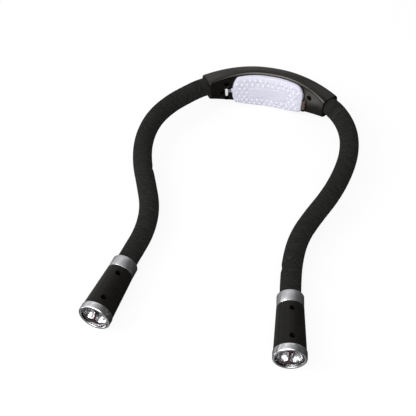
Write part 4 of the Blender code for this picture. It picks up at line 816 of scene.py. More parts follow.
inner_shell = outer_loft("case_front", shell_gloss)
keep_inside(inner_shell, neck_side("front_half", -GAP / 2))
recess = keep_inside(face_slab("door_recess", OVER, DOOR_THICKNESS + GAP), door_outline(GAP))
openings = [cavity_loft("cavity"), *(arm_seat(side) for side in SIDES), recess]
openings.append(prism("bay", -BAY_HALF_LENGTH, BAY_HALF_LENGTH, BAY_BOTTOM, BAY_TOP, DOOR_CORNER))
openings += [block_body(name, *corners, LATCH_FRAME) for name, corners in LATCH_ROOMS.items()]
openings += [turned_body("screw_seat", SCREW_SEAT_PROFILE, seat, steps=48) for seat in SCREW_SEATS]
openings.append(knuckle("hinge_room", -3.45, 3.45, KNUCKLE_RADIUS + 0.6 * MM))
openings.append(block_body("hinge_arm_room", *mm((-2.6, -3.15, -1.3), (0, 3.15, 1.05)), HINGE_FRAME))
boolean(inner_shell, "DIFFERENCE", openings)
boolean(inner_shell, "UNION", [
    knuckle("case_knuckle", *ends, KNUCKLE_RADIUS, shell_gloss) for ends in ((3.3, 6.3), (-5.2, -3.3))])
boolean(inner_shell, "DIFFERENCE", [pin_bore()])
paint_knuckles(inner_shell)
print("inner shell faces:", len(inner_shell.data.polygons))

# %% [markdown]
# ## Battery door
# A thin curved lid that fills the recess, with a knuckle on the hinge pin at its right and a small tab under
# the latch at its left. The pad is glued to it.

# %% Battery door
door = keep_inside(face_slab("door_lid", 0.0, DOOR_THICKNESS, shell_gloss), door_outline(0.0))
boolean(door, "UNION", [
    block_body("arm", *mm((-2.3, -2.85, -1.0), (0, 2.85, 0.75)), HINGE_FRAME, shell_gloss),
    knuckle("door_knuckle", -3.0, 3.0, KNUCKLE_RADIUS, shell_gloss),
    block_body("tab", *mm((2.55, -2.2, -1.15), (6.15, 2.2, -0.15)), LATCH_FRAME, shell_gloss),
])
boolean(door, "DIFFERENCE", [pin_bore()])
paint_knuckles(door)
print("door faces:", len(door.data.polygons))

# %% [markdown]
# ## Gel pad
# The soft pad against the neck is a pillow that follows the door's curve, moulded with staggered round nubs
# round a plain middle. The pillow is a fine grid that knows how far along and how far up each point lies; a
# geometry tree then lifts the nubs out of it, so that pitch, size and plain middle are just inputs.

# %% Pillow
PAD_RIM, PAD_CROWN = 1.4 * MM, 4.2 * MM
PAD_FOOT_MARGIN, PAD_TOP_MARGIN = 1.8 * MM, 2.9 * MM
# Corners as width along the pad and height: the left end leans in, the right end is squarer
PAD_TOP_CORNERS = {"left": (6.5 * MM, 15.0 * MM), "right": (8.5 * MM, 9.5 * MM)}
PAD_FOOT_CORNERS = {"left": (3.6 * MM, 9.0 * MM), "right": (2.6 * MM, 2.8 * MM)}
PAD_POWER = 3.2
PAD_LONG_STEPS, PAD_TALL_STEPS, PAD_BACK_STEP = 230, 96, 6
NUB_ROW_HEIGHT = 16.9 * MM


def corner_step(place, corners):
    """How far a rounded corner has come in at a place along the pad."""
    side, end = ("left", PAD_LEFT) if place < 0 else ("right", PAD_RIGHT)
    width, height = corners[side]
    into = max(abs(place) - (end - width), 0.0) / width
    return height * (1 - math.sqrt(max(1 - into**2, 0.0)))


def pad_span(place):
    foot, ridge = section(place / FACE_ARC_RADIUS)[:2]
    low = foot[1] + PAD_FOOT_MARGIN + corner_step(place, PAD_FOOT_CORNERS)
    return low, ridge[1] - PAD_TOP_MARGIN - corner_step(place, PAD_TOP_CORNERS)


def eased(step, count):
    """From -1 to 1, with the finer steps at both ends."""
    return math.sin(math.pi / 2 * (2 * step / count - 1))


def swell(share):
    return max(1 - abs(share) ** PAD_POWER, 0.0) ** (1 / PAD_POWER)


def pad_pillow():
    bm = bmesh.new()
    layers = {name: bm.verts.layers.float.new(name) for name in ("along", "up", "front")}
    middle, half = (PAD_RIGHT - PAD_LEFT) / 2, (PAD_RIGHT + PAD_LEFT) / 2

    def point(angle, offset, height, **marks):
        vert = bm.verts.new(on_arc(angle, offset, height))
        for name, value in marks.items():
            vert[layers[name]] = value
        return vert

    rows = []
    for i in range(PAD_LONG_STEPS + 1):
        share = eased(i, PAD_LONG_STEPS)
        place = middle + share * half
        angle = place / FACE_ARC_RADIUS
        low, high = pad_span(place)
        back, front = [], []
        for k in range(PAD_TALL_STEPS + 1):
            row = eased(k, PAD_TALL_STEPS)
            crown = swell(share) * swell(row)
            height = mix(low, high, (row + 1) / 2)
            face = face_offset(angle, height) - GAP
            marks = {"along": place - middle, "up": height - NUB_ROW_HEIGHT}
            if k % PAD_BACK_STEP == 0:
                back.append(point(angle, face, height, front=0.0, **marks))
            front.append(point(angle, face - mix(PAD_RIM, PAD_CROWN, crown), height, front=crown, **marks))
        rows.append(back + front[::-1])
    close_rows(bm, rows)
    return finished("neck_pad_gel", bm, gel, sharp=80.0)


# %% Nub tree
KINDS = {float: "Float", int: "Int", type(None): "Object"}


def geometry_tree(name, lengths, others=None):
    """A tree with inputs for lengths, given in millimetres, and for counts or objects; and its entry."""
    tree = bpy.data.node_groups.new(name, "GeometryNodeTree")

    def socket(key, kind, way="INPUT"):
        return tree.interface.new_socket(key, in_out=way, socket_type="NodeSocket" + kind)

    socket("Geometry", "Geometry")
    socket("Finish", "Material")
    for key, value in {**{key: value * MM for key, value in lengths.items()}, **(others or {})}.items():
        made = socket(key, KINDS[type(value)])
        if value is not None:
            made.default_value = value
    socket("Geometry", "Geometry", "OUTPUT")
    return tree, node(tree, "NodeGroupInput")


def close_tree(geometry, entry):
    real = entry.new("GeometryNodeRealizeInstances", {0: geometry})
    done = entry.new("GeometryNodeSetMaterial", {"Geometry": real, "Material": entry["Finish"]})
    entry.new("NodeGroupOutput", {0: done})


def run_tree(item, tree, material, **sizes):
    change = item.modifiers.new("tree", "NODES")
    change.node_group = tree
    sizes["Finish"] = material
    for socket in tree.interface.items_tree:
        if socket.in_out == "INPUT" and socket.name in sizes:
            change[socket.identifier] = sizes[socket.name]
    return plain(item)


def attribute(tree, name, kind="FLOAT"):
    return node(tree, "GeometryNodeInputNamedAttribute", {"Name": name}, data_type=kind)


def stored(geometry, name, value):
    return geometry.new("GeometryNodeStoreNamedAttribute", {
        "Geometry": geometry, "Name": name, "Value": value}, data_type="FLOAT", domain="POINT")


def shifted(geometry, offset):
    return geometry.new("GeometryNodeSetPosition", {"Geometry": geometry, "Offset": offset})


def swollen(geometry, lift):
    """Points moved out along their normals."""
    return shifted(geometry, geometry.new("GeometryNodeInputNormal", {}).scaled(lift))


def outline_distance(x, y, half_x, half_y, corner):
    """Distance outside a rounded oblong, below zero inside it."""
    qx, qy = x.maths("ABSOLUTE") - (half_x - corner), y.maths("ABSOLUTE") - (half_y - corner)
    outside = qx.maths("MAXIMUM", 0.0).hypot(qy.maths("MAXIMUM", 0.0))
    return outside + qx.maths("MAXIMUM", qy).maths("MINIMUM", 0.0) - corner


nub_tree, entry = geometry_tree("nub_field", {
    "Pitch": 5.0, "Row Pitch": 4.1, "Nub Radius": 1.75, "Nub Height": 0.7,
    "Field Half Length": 32.0, "Field Half Height": 12.6, "Field Corner": 8.5,
    "Plain Half Length": 19.5, "Plain Half Height": 5.8, "Plain Corner": 5.0,
    "Plain Height": 0.35, "Plain Edge": 1.0,
})
field, bare = (
    [entry[f"{zone} {size}"] for size in ("Half Length", "Half Height", "Corner")] for zone in ("Field", "Plain"))
along, up = attribute(nub_tree, "along"), attribute(nub_tree, "up")
row = (up / entry["Row Pitch"]).maths("ROUND")
shift = row.maths("FLOORED_MODULO", 2.0) * 0.5
column = (along / entry["Pitch"] + shift).maths("ROUND") - shift
nub_x, nub_y = column * entry["Pitch"], row * entry["Row Pitch"]
reach = (along - nub_x).hypot(up - nub_y)
dome = (reach / entry["Nub Radius"]).mapped(0.25, 1.0, 1.0, 0.0, kind="SMOOTHSTEP")
in_field = outline_distance(nub_x, nub_y, *field).maths("LESS_THAN", 0.0)
off_plain = outline_distance(nub_x, nub_y, *bare).maths("GREATER_THAN", 0.0)
on_front = attribute(nub_tree, "front").maths("GREATER_THAN", 0.3)
lift = dome * entry["Nub Height"] * (on_front * (in_field * off_plain))
depth = outline_distance(along, up, *bare) / entry["Plain Edge"]
plateau = depth.mapped(-1.0, 0.0, 1.0, 0.0, kind="SMOOTHSTEP") * entry["Plain Height"] * on_front
raised = swollen(entry["Geometry"], lift + plateau)
close_tree(stored(raised, "nub", lift / entry["Nub Height"]), entry)

pad = run_tree(pad_pillow(), nub_tree, gel)
print("pad faces:", len(pad.data.polygons))

# %% [markdown]
# ## Latch
# A T-shaped slider: the bright bar is pushed away from the pad, and its grey tongue lets the door go. The
# tongue holds a small tab at the pad's end. Under the face a dark stem carries a foot, and a coil spring
# pushes that back.

# %% Latch
def joined(name, items):
    """Closed bodies of one piece in one mesh."""
    bm = bmesh.new()
    for item in items:
        bm.from_mesh(item.data)
    mesh = bpy.data.meshes.new(name)
    bm.to_mesh(mesh)
    bm.free()
    for material in items[0].data.materials:
        mesh.materials.append(material)
    discard(*items)
    return smooth(add_object(name, mesh))


def line_object(name, points, joined_up=True):
    mesh = bpy.data.meshes.new(name)
    edges = [(i, i + 1) for i in range(len(points) - 1)] if joined_up else []
    mesh.from_pydata([tuple(point) for point in points], edges, [])
    return add_object(name, mesh)


# Two corners and a bevel, in millimetres
LATCH_BLOCKS = {
    "bar": ((-0.5, -2.9, -1.0), (1.7, 4.0, 1.4), 0.12), "tongue": ((1.2, 0.3, 0.5), (4.9, 3.4, 1.2), 0.2),
    "stem": ((-1.2, -1.5, -3.2), (1.2, 1.5, -0.8), 0.0), "foot": ((-2.5, -3.0, -4.6), (2.5, 3.0, -2.9), 0.2),
}
latch = joined("door_latch_slider", [
    block_body(name, Vector(low) * MM, Vector(high) * MM, LATCH_FRAME, bright_plate, bevel * MM)
    for name, (low, high, bevel) in LATCH_BLOCKS.items()
])
latch.data.materials.append(grey_plate)
latch.data.materials.append(dark_steel)
paint(latch, LATCH_FRAME, lambda place: 2 if place.z < -0.75 * MM else 1 if place.x > 1.75 * MM else 0)
print("latch faces:", len(latch.data.polygons))
striker = block_body("latch_striker", *mm((5.1, -0.2, -0.3), (7.4, 3.6, 1.15)), LATCH_FRAME, gel, 0.3 * MM)

# %% [markdown]
# The latch's spring is a coil that a short geometry tree winds from turns, radius, wire and length. It is
# wound along local Z and then laid along the slide, behind the face.

# %% Latch spring
SPRING_START, SPRING_END, SPRING_DEPTH = -2.8 * MM, -7.2 * MM, -3.75 * MM
coil_tree, entry = geometry_tree(
    "wound_coil", {"Coil Radius": 0.9, "Wire Radius": 0.2, "Free Length": 4.0}, {"Turns": 5.0, "Steps": 24})
spiral = node(coil_tree, "GeometryNodeCurveSpiral", {
    "Resolution": entry["Steps"], "Rotations": entry["Turns"], "Start Radius": entry["Coil Radius"],
    "End Radius": entry["Coil Radius"], "Height": entry["Free Length"]})
wire = node(coil_tree, "GeometryNodeCurvePrimitiveCircle", {
    "Resolution": 10, "Radius": entry["Wire Radius"]}, mode="RADIUS")
close_tree(node(coil_tree, "GeometryNodeCurveToMesh", {
    "Curve": spiral, "Profile Curve": wire, "Fill Caps": True}), entry)

latch_coil = run_tree(line_object("latch_coil", [(0.0, 0.0, 0.0)], False), coil_tree, steel)
lay = Matrix.Translation((SPRING_START - 0.2 * MM, 0.0, SPRING_DEPTH)) @ Matrix.Rotation(-math.pi / 2, 4, "Y")
latch_coil.data.transform(LATCH_FRAME @ lay)
latch_coil.data.shade_smooth()
print("coil faces:", len(latch_coil.data.polygons))

# %% [markdown]
# ## Push buttons
# One round button on the back for each arm, turned from a profile with a rounded rim and a shallow dish for
# the fingertip.

# %% Push buttons
BUTTON_TOP, BUTTON_ROUND = 0.9 * MM, 0.5 * MM


def push_button(side):
    profile = mm((0, 0.55), (1.2, 0.6), (2.3, 0.85))
    for k in range(7):
        turn = math.pi / 2 * k / 6
        profile.append((
            BUTTON_RADIUS - BUTTON_ROUND * (1 - math.sin(turn)), BUTTON_TOP - BUTTON_ROUND * (1 - math.cos(turn))))
    profile += mm((3.2, -2.0), (4.2, -2.0), (4.2, -2.8), (0, -2.8))
    return turned_body(f"{side}_button_cap", profile, button_frame(side), black_plastic, steps=64, sharp=50.0)


buttons = {side: push_button(side) for side in SIDES}

# %% [markdown]
# ## Foam arms
# Each arm is one long tube of closed-cell foam over a gooseneck. Its rule is simple: a round section swept
# along the arm's route, wrinkled across its length where it was bent. A geometry tree sweeps it, keeps the
# length at every point, presses in the wrinkles and the few deep creases, and closes the ends.
# Each arm is cut into four pieces, because a piece can bend across one joint only.

# %% Arm route
ARM_LENGTHS = {"left": 236 * MM, "right": 232 * MM}
HEADING_SHARES = (0.0, 0.06, 0.13, 0.22, 0.33, 0.45, 0.57, 0.68, 0.79, 0.90, 1.0)
HEADINGS = {
    "left": (52, 40, 37, 24, 4, -13, -25, -23, -6, 9, 8),
    "right": (52, 38, 25, 9, -5, -14, -22, -18, -2, 7, 10),
}
HEAD_HEIGHT = 13.2 * MM


def direction_at(side, length):
    share = clamped(length / ARM_LENGTHS[side])
    table = HEADINGS[side]
    k = max(i for i, s in enumerate(HEADING_SHARES[:-1]) if s <= share)
    into = (share - HEADING_SHARES[k]) / (HEADING_SHARES[k + 1] - HEADING_SHARES[k])
    heading = math.radians(mix(table[k], table[k + 1], into))
    return Vector((SIDES[side] * math.sin(heading), -math.cos(heading), 0.0))


def arm_route(side):
    """Points one millimetre apart along the arm, which sinks smoothly to the height of its head."""
    place = on_arc(HALF_ANGLE * SIDES[side], 0.0, AXIS_HEIGHT)
    points = [place.copy()]
    count = round(ARM_LENGTHS[side] / MM)
    for i in range(count):
        place = place + direction_at(side, (i + 0.5) * MM) * MM
        share = (i + 1) / count
        place.z = mix(AXIS_HEIGHT, HEAD_HEIGHT, share * share * (3 - 2 * share))
        points.append(place.copy())
    return points


ROUTES = {side: arm_route(side) for side in SIDES}


def point_at(side, length):
    if length < 0:
        return end_frame(side) @ Vector((0, 0, length))
    if length >= ARM_LENGTHS[side]:
        return ROUTES[side][-1] + direction_at(side, ARM_LENGTHS[side]) * (length - ARM_LENGTHS[side])
    index = min(int(length / MM), len(ROUTES[side]) - 2)
    return ROUTES[side][index].lerp(ROUTES[side][index + 1], length / MM - index)


# %% Sleeve tree
sleeve_tree, entry = geometry_tree("foam_sleeve", {
    "Start": 0.0, "End": 100.0, "Radius": SLEEVE_RADIUS / MM, "Ring Step": 0.6, "Wrinkle Depth": 0.14,
    "Collar Wrinkle Depth": 0.5, "Wrinkled Length": 34.0, "Wrinkle Pitch": 1.6, "Grain Depth": 0.05,
    "Dent Depth": 1.7, "Dent Size": 4.6,
}, {"Sides": 60, "Dents": None})
tree = sleeve_tree
run = node(tree, "GeometryNodeSplineParameter")["Length"]
route = stored(node(tree, "GeometryNodeMeshToCurve", {0: entry["Geometry"]}), "run", run)
route = node(tree, "GeometryNodeTrimCurve", {"Curve": route, 4: entry["Start"], 5: entry["End"]}, mode="LENGTH")
route = node(tree, "GeometryNodeResampleCurve", {"Curve": route, "Length": entry["Ring Step"]}, mode="LENGTH")
route = node(tree, "GeometryNodeSetCurveNormal", {"Curve": route}, mode="Z_UP")
hoop = node(tree, "GeometryNodeCurvePrimitiveCircle", {
    "Resolution": entry["Sides"], "Radius": entry["Radius"]}, mode="RADIUS")
tube = node(tree, "GeometryNodeCurveToMesh", {"Curve": route, "Profile Curve": hoop, "Fill Caps": True})
here = node(tree, "GeometryNodeInputPosition")
length = attribute(tree, "run")
warp = here.noise(60.0, 1.0)
across = combined(tree, length / entry["Wrinkle Pitch"] + warp * 5.0, warp * 3.0)
bunched = length.mapped(
    0.0, entry["Wrinkled Length"], entry["Collar Wrinkle Depth"], entry["Wrinkle Depth"], kind="SMOOTHSTEP")
wrinkle = (across.noise(1.0, 2.0) - 0.55) * bunched
grain = (here.noise(700.0, 2.0) - 0.6) * entry["Grain Depth"]
dents = node(tree, "GeometryNodeObjectInfo", {"Object": entry["Dents"]}, transform_space="RELATIVE")["Geometry"]
near = node(tree, "GeometryNodeProximity", {0: dents}, target_element="POINTS")["Distance"]
press = (near / entry["Dent Size"]).mapped(0.0, 1.0, 1.0, 0.0, kind="SMOOTHSTEP") * (entry["Dent Depth"] * -1.0)
close_tree(swollen(tube, wrinkle + grain + press), entry)

# %% Sleeves
SEAT, TIP = 3.3 * MM, 2.7 * MM
PIECES = ("shoulder", "raise", "elbow", "wrist")
CUTS = (-SEAT, 36.0 * MM, 96.0 * MM, 176.0 * MM)
END_BEND = 16.0 * MM
# Deep creases as (length along the arm, degrees round it from the inner side towards the top)
DENTS = {"left": ((130.0, 5.0), (225.0, 0.0), (229.0, 0.0), (233.0, 0.0)), "right": ((205.0, 0.0),)}


def piece_spans(side):
    """Start, end, and where the bend of its joint starts and ends, for each piece of an arm."""
    whole = ARM_LENGTHS[side]
    ends = (*CUTS[1:], whole + TIP)
    bends = ((0.0, END_BEND), *mm((51.0, 79.0), (113.0, 141.0)), (whole - END_BEND, whole))
    return {name: (start, end, *bend) for name, start, end, bend in zip(PIECES, CUTS, ends, bends)}


def dent_points(side):
    points = []
    for length, turn in DENTS[side]:
        inward = direction_at(side, length * MM).cross(UP) * SIDES[side]
        around = inward * math.cos(math.radians(turn)) + UP * math.sin(math.radians(turn))
        points.append(point_at(side, length * MM) + around * SLEEVE_RADIUS)
    return points


def sleeve(side, name):
    start, end = piece_spans(side)[name][:2]
    lengths = [-SEAT, *(i * MM for i in range(len(ROUTES[side]))), ARM_LENGTHS[side] + TIP]
    item = line_object(f"{side}_foam_{name}", [point_at(side, length) for length in lengths])
    dents = line_object("dents", dent_points(side), False)
    run_tree(item, sleeve_tree, foam, Start=start + SEAT, End=end + SEAT, Dents=dents)
    discard(dents)
    bm = bmesh.new()
    bm.from_mesh(item.data)
    tidy(bm)
    bm.to_mesh(item.data)
    bm.free()
    return smooth(item, sharp=60.0)


sleeves = {(side, name): sleeve(side, name) for side in SIDES for name in PIECES}
print("sleeve faces:", sum(len(item.data.polygons) for item in sleeves.values()))

# %% [markdown]
# ## Lamp heads
# Each head is a stack of turned pieces: a satin ring collar on the foam, a black tapered barrel in two
# halves, and a polished bezel that holds the lens. Turning a profile gives them the exact round rims, and the
# barrel's screw holes are cut afterwards.

# %% Head frames
BARREL_REAR, BARREL_END = 10.8 * MM, 50.7 * MM
BARREL_RADII = (10.9 * MM, 12.7 * MM)
BARREL_WALL, BARREL_ROUND = 1.4 * MM, 0.4 * MM
BARREL_SCREWS = (17.5 * MM, 43.5 * MM)
HEAD_ROLL = {"left": math.radians(14), "right": math.radians(5)}


def head_frame(side):
    """At the rear of the ring collar: Z runs to the lens and Y out of the screw holes."""
    axis = direction_at(side, ARM_LENGTHS[side])
    across = UP.cross(axis)
    lean = HEAD_ROLL[side] * (1 if across.x > 0 else -1)
    return frame_at(ROUTES[side][-1], across, UP, axis) @ Matrix.Rotation(-lean, 4, "Z")


HEADS = {side: head_frame(side) for side in SIDES}


def turned_piece(name, material, *profile, **options):
    """What makes the piece of one head from its profile in millimetres."""
    return lambda side: turned_body(f"{side}_{name}", mm(*profile), HEADS[side], material, **options)


# %% Ring collar, bezel and lens
ring_collar = turned_piece(
    "ring_collar_metal", satin_aluminium,
    (10.45, 10.5), (10.65, 10.42), (10.8, 10.15), (10.8, 0.4), (10.65, 0.12), (10.4, 0.0), (9.1, 0.0),
    (8.85, 0.25), (8.8, 3.0), (2.6, 3.0), (2.6, 5.0), (8.1, 5.0), (8.1, 13.0), (9.2, 13.0), (9.2, 10.5))
bezel = turned_piece(
    "bezel_metal", polished_aluminium,
    (11.0, 56.6), (11.35, 56.95), (11.6, 57.0), (12.3, 57.0), (12.75, 56.88), (13.05, 56.55), (13.2, 56.1),
    (13.2, 51.35), (13.1, 51.08), (12.8, 51.0), (10.85, 51.0), (10.85, 47.5), (9.75, 47.5), (9.75, 53.3),
    (11.45, 53.3), (11.45, 56.1), (11.0, 56.1))
lens = turned_piece(
    "lens_clear", clear_lens,
    (0, 55.9), (10.9, 55.9), (11.2, 55.8), (11.3, 55.6), (11.3, 54.8), (11.2, 54.7), (0, 54.7))


# %% Barrel halves
def barrel_radius(place):
    return mix(*BARREL_RADII, (place - BARREL_REAR) / (BARREL_END - BARREL_REAR))


def boss(side, at):
    """A post inside the barrel for one of its screws."""
    ends = (HEADS[side] @ Vector((0, y, at)) for y in (3.3 * MM, barrel_radius(at) - 1.0 * MM))
    return rod_body("boss", *ends, 3.3 * MM, barrel_gloss)


def screw_recess(side, at):
    top = barrel_radius(at)
    profile = [
        *mm((0, 0), (1.3, 0), (1.3, 4.8), (2.2, 4.8)),
        (2.2 * MM, top - 0.45 * MM), (2.5 * MM, top), (2.5 * MM, top + OVER), (0, top + OVER),
    ]
    seat = HEADS[side] @ Matrix.Translation((0, 0, at)) @ Matrix.Rotation(-math.pi / 2, 4, "X")
    return turned_body("recess", profile, seat, steps=48)


def barrel_half(side, upper):
    (rear, front), lip = BARREL_RADII, BARREL_ROUND
    profile = [
        (front - 0.35 * MM, BARREL_END), (front - 0.1 * MM, BARREL_END - 0.1 * MM), (front, BARREL_END - lip),
    ]
    for k in range(1, 13):
        profile.append((mix(front, rear, k / 12), mix(BARREL_END - lip, BARREL_REAR + lip, k / 12)))
    profile += [
        (rear - 0.1 * MM, BARREL_REAR + 0.1 * MM), (rear - 0.35 * MM, BARREL_REAR),
        (rear - BARREL_WALL, BARREL_REAR), (front - BARREL_WALL, BARREL_END),
    ]
    name = f"{side}_barrel_{'upper' if upper else 'lower'}_shell"
    item = turned_body(name, profile, HEADS[side], barrel_gloss, steps=128)
    other_half = mm((-20, -20, 0), (20, 0.06, 60)) if upper else mm((-20, -0.06, 0), (20, 20, 60))
    cutters = [block_body("half", *other_half, HEADS[side])]
    if upper:
        boolean(item, "UNION", [boss(side, at) for at in BARREL_SCREWS])
        cutters += [screw_recess(side, at) for at in BARREL_SCREWS]
    return boolean(item, "DIFFERENCE", cutters)


# %% [markdown]
# ## Reflector and lamps
# Behind the clear lens two bright cups stand side by side, each with a small LED in its floor, and a dark
# slit shows between them. The cups are faceted paraboloids cut out of one turned body.

# %% Reflector
CUP_SHIFT, CUP_RADIUS, CUP_FLOOR = 4.3 * MM, 5.0 * MM, 1.6 * MM
CUP_TALLNESS, CUP_SIDES, CUP_RINGS = 1.25, 14, 5
# Heights in the head, in millimetres
CUP_TOP, CUP_DEEP, LED_FOOT, LED_RADIUS = 54.1, 50.4, 49.9, 1.3
CUP_FIELD = 9.55 * MM


def at_cups(side):
    return [HEADS[side] @ Matrix.Translation((sign * CUP_SHIFT, 0, 0)) for sign in (-1, 1)]


reflector_body = turned_piece(
    "reflector_cups", chrome,
    (0, CUP_TOP), (9.5, CUP_TOP), (9.6, 54.4), (9.85, 54.5), (10.1, 54.4), (10.2, CUP_TOP), (11.2, CUP_TOP),
    (11.3, 54.0), (11.3, 53.6), (9.45, 53.6), (9.45, 49.2), (0, 49.2))


def reflector(side):
    body = reflector_body(side)
    profile = [(0, 60 * MM), (CUP_RADIUS, 60 * MM)]
    for k in range(CUP_RINGS):
        radius = mix(CUP_RADIUS, CUP_FLOOR, k / (CUP_RINGS - 1))
        depth = 1 - ((radius - CUP_FLOOR) / (CUP_RADIUS - CUP_FLOOR)) ** 2
        profile.append((radius, mix(CUP_TOP, CUP_DEEP, depth) * MM))
    profile += [(CUP_FLOOR, 46 * MM), (0, 46 * MM)]
    tall = Matrix.Diagonal((1, CUP_TALLNESS, 1, 1))
    cups = [turned_body("cup", profile, place @ tall, steps=CUP_SIDES) for place in at_cups(side)]
    boolean(body, "DIFFERENCE", cups, sharp=8.0)
    body.data.materials.append(slit_red)
    body.data.materials.append(black_plastic)

    def choose(place):
        if abs(place.z - CUP_TOP * MM) < MERGE:
            return 1 if math.hypot(place.x, place.y) < CUP_FIELD else 2

    paint(body, HEADS[side], choose)
    return body


led_plate = turned_piece(
    "led_plate", board_green, (0, 48.9), (9.2, 48.9), (9.45, 48.7), (9.45, 47.3), (0, 47.3), steps=64)


def led_domes(side):
    turns = [math.pi / 2 * k / 10 for k in range(11)]
    profile = mm(*((LED_RADIUS * math.sin(t), LED_FOOT + LED_RADIUS * math.cos(t)) for t in turns))
    profile += mm((1.5, LED_FOOT), (1.5, 48.6), (0, 48.6))
    domes = [turned_body("dome", profile, place, led_resin, steps=32) for place in at_cups(side)]
    return joined(f"{side}_led_domes", domes)


def slit_wall(side):
    corners = mm((-0.8, -5.6, 49.4), (0.8, 5.6, 54.3))
    return block_body(f"{side}_cup_slit", *corners, HEADS[side], slit_red, 0.1 * MM)


# What makes each piece of a head, the CAD pieces that it stands for, and its slot
HEAD_PIECES = (
    (ring_collar, ["ring_collar"], "satin_aluminium"), (bezel, ["bezel"], "polished_aluminium"),
    (lens, ["lens"], "lens_plastic"), (lambda side: barrel_half(side, True), ["barrel_upper"], "barrel_plastic"),
    (lambda side: barrel_half(side, False), ["barrel_lower"], "barrel_plastic"),
    (reflector, ["reflector"], "chromed_plastic"), (led_plate, ["led_board"], "board"),
    (led_domes, [], "lens_plastic"), (slit_wall, [], "black_plastic"),
)
heads = {side: [make(side) for make, _, _ in HEAD_PIECES] for side in SIDES}
print("head pieces:", sum(len(parts) for parts in heads.values()))

# %% [markdown]
# ## Screws
# Seven cross-recessed screws hold the case and the barrels together. They differ only in the radius of the
# head and the length of the shank, so one geometry tree makes them: a head and shank, a cross cut into the
# head, and one copy at each marked point, turned as its seat is. One mesh per body keeps them moving with
# what they hold.

# %% Screw tree
screw_tree, entry = geometry_tree("cross_recessed_screw", {
    "Head Radius": 1.9, "Head Height": 1.2, "Shank Radius": 0.95, "Shank Length": 9.0,
    "Cross Length": 2.2, "Cross Width": 0.5, "Cross Depth": 0.8,
})
tree = screw_tree


def raised_by(geometry, height):
    return node(tree, "GeometryNodeTransform", {"Geometry": geometry, "Translation": combined(tree, z=height)})


thick, long = entry["Head Height"], entry["Shank Length"]
head = node(tree, "GeometryNodeMeshCylinder", {
    "Vertices": 40, "Side Segments": 3, "Fill Segments": 4, "Radius": entry["Head Radius"], "Depth": thick,
}, fill_type="NGON")
spot = node(tree, "ShaderNodeSeparateXYZ", {0: node(tree, "GeometryNodeInputPosition")})
shrink = spot["Z"].maths("GREATER_THAN", thick * 0.4) * -0.12
head = raised_by(shifted(head, combined(tree, spot["X"], spot["Y"]).scaled(shrink)), thick * -0.5)
width, span, depth = entry["Cross Width"], entry["Cross Length"], entry["Cross Depth"] * 2.0
bars = [
    node(tree, "GeometryNodeMeshCube", {"Size": combined(tree, *sizes, depth)})
    for sizes in ((span, width), (width, span))
]
cut = node(tree, "GeometryNodeMeshBoolean", {
    "Mesh 1": head, "Mesh 2": bars}, operation="DIFFERENCE", solver="EXACT")
shank = node(tree, "GeometryNodeMeshCylinder", {"Vertices": 24, "Radius": entry["Shank Radius"], "Depth": long})
shank = raised_by(shank, (long + thick) * -0.5 - thick * 0.4)
whole = node(tree, "GeometryNodeJoinGeometry", {0: [cut, shank]})
copies = node(tree, "GeometryNodeInstanceOnPoints", {
    "Points": entry["Geometry"], "Instance": whole, "Rotation": attribute(tree, "facing", "QUATERNION")})
close_tree(copies, entry)


# %% Screws in place
def screws(name, seats, length, head_radius):
    item = line_object(name, [seat.translation for seat in seats], False)
    facing = item.data.attributes.new("facing", "QUATERNION", "POINT")
    for mark, seat in zip(facing.data, seats):
        mark.value = seat.to_quaternion()
    run_tree(item, screw_tree, dark_steel, **{"Shank Length": length, "Head Radius": head_radius})
    return smooth(item)


# The near-black finish of these screws paints the shade of their holes as well as black oxide
case_screws = screws("case_screws", [
    seat @ Matrix.Translation((0, 0, -0.6 * MM)) @ Matrix.Rotation(0.4 + k, 4, "Z")
    for k, seat in enumerate(SCREW_SEATS)
], 8.4 * MM, 2.2 * MM)
head_screws = {side: screws(f"{side}_head_screws", [
    HEADS[side] @ Matrix.Translation((0, 6.3 * MM, at)) @ Matrix.Rotation(-math.pi / 2, 4, "X")
    @ Matrix.Rotation(0.7 + 2 * k, 4, "Z") for k, at in enumerate(BARREL_SCREWS)
], 8.7 * MM, 1.9 * MM) for side in SIDES}
print("screws: 7 in", 1 + len(head_screws), "meshes")

# %% [markdown]
# ## CAD pieces that stay
# The inner pieces keep their CAD shape: cells, contacts, board, switches, ferrules, gooseneck tubes and hinge
# pin. They only need their finish.

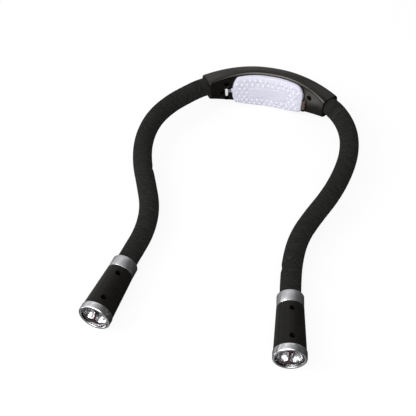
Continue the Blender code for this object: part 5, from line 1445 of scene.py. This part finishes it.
# %% Finishes for the CAD pieces
KEPT = {
    "cell_lower": cell_sleeve, "cell_upper": cell_sleeve, "circuit_board": board_green, "door_hinge_pin": steel,
}
for side in SIDES:
    KEPT |= {f"contact_{side}": steel, f"switch_{side}": black_plastic, f"arm_anchor_{side}": brass}
    KEPT |= {f"{side}_core_{span}": steel for span in ("upper", "middle", "fore")}
for name, material in KEPT.items():
    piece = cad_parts[name]
    piece.data.materials.clear()
    piece.data.materials.append(material)
print("CAD pieces kept:", len(KEPT))

# %% [markdown]
# ## Riding on the bodies
# Every rigid new piece now moves with a CAD body, and the CAD pieces that it stands for are hidden.
# The foam pieces stay where they were built, and the CAD pieces that they stand for are hidden. The foam pieces
# bend
# between the two bodies that their joint connects.

# %% Neckpiece, door and latch
RIGID = [
    (outer_shell, "neckpiece", ["outer_shell"], "shell_plastic"),
    (inner_shell, "neckpiece", ["inner_shell"], "shell_plastic"),
    (case_screws, "neckpiece", ["housing_screw_right", "housing_screw_upper", "housing_screw_lower"], "steel"),
    (door, "door", ["battery_door"], "shell_plastic"),
    (pad, "door", ["neck_pad"], "gel"),
    (latch, "latch", ["door_latch"], "satin_aluminium"),
    (striker, "door", [], "gel"),
    (latch_coil, "neckpiece", ["latch_spring"], "steel"),
]
for side in SIDES:
    body = f"{side}_head"
    RIGID.append((buttons[side], f"{side}_push_button", [f"button_{side}"], "black_plastic"))
    for piece, (_, parts, slot) in zip(heads[side], HEAD_PIECES):
        RIGID.append((piece, body, [f"{side}_{part}" for part in parts], slot))
    RIGID.append((head_screws[side], body, [f"{side}_barrel_screw_rear", f"{side}_barrel_screw_front"], "steel"))
for piece, body, stands_for, slot in RIGID:
    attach(piece, body)
    if stands_for:
        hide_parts(*stands_for)
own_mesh(latch_coil)

# %% Foam
CHAIN = ("upper_arm", "middle_arm", "forearm", "head")
STANDS_FOR = {
    "shoulder": ("flex_shoulder", "sleeve_upper"), "raise": ("flex_raise", "sleeve_middle"),
    "elbow": ("flex_elbow", "sleeve_fore"), "wrist": ("flex_wrist",),
}
for side in SIDES:
    bodies = ["neckpiece"] + [f"{side}_{part}" for part in CHAIN]
    for k, (name, span) in enumerate(piece_spans(side).items()):
        piece = sleeves[side, name]
        bend_start, bend_end = span[2:]
        bodies[k + 1]
        point_at(side, bend_start)
        point_at(side, bend_end)
        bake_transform(piece)
        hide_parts(*(f"{side}_{node_name}" for node_name in STANDS_FOR[name]))
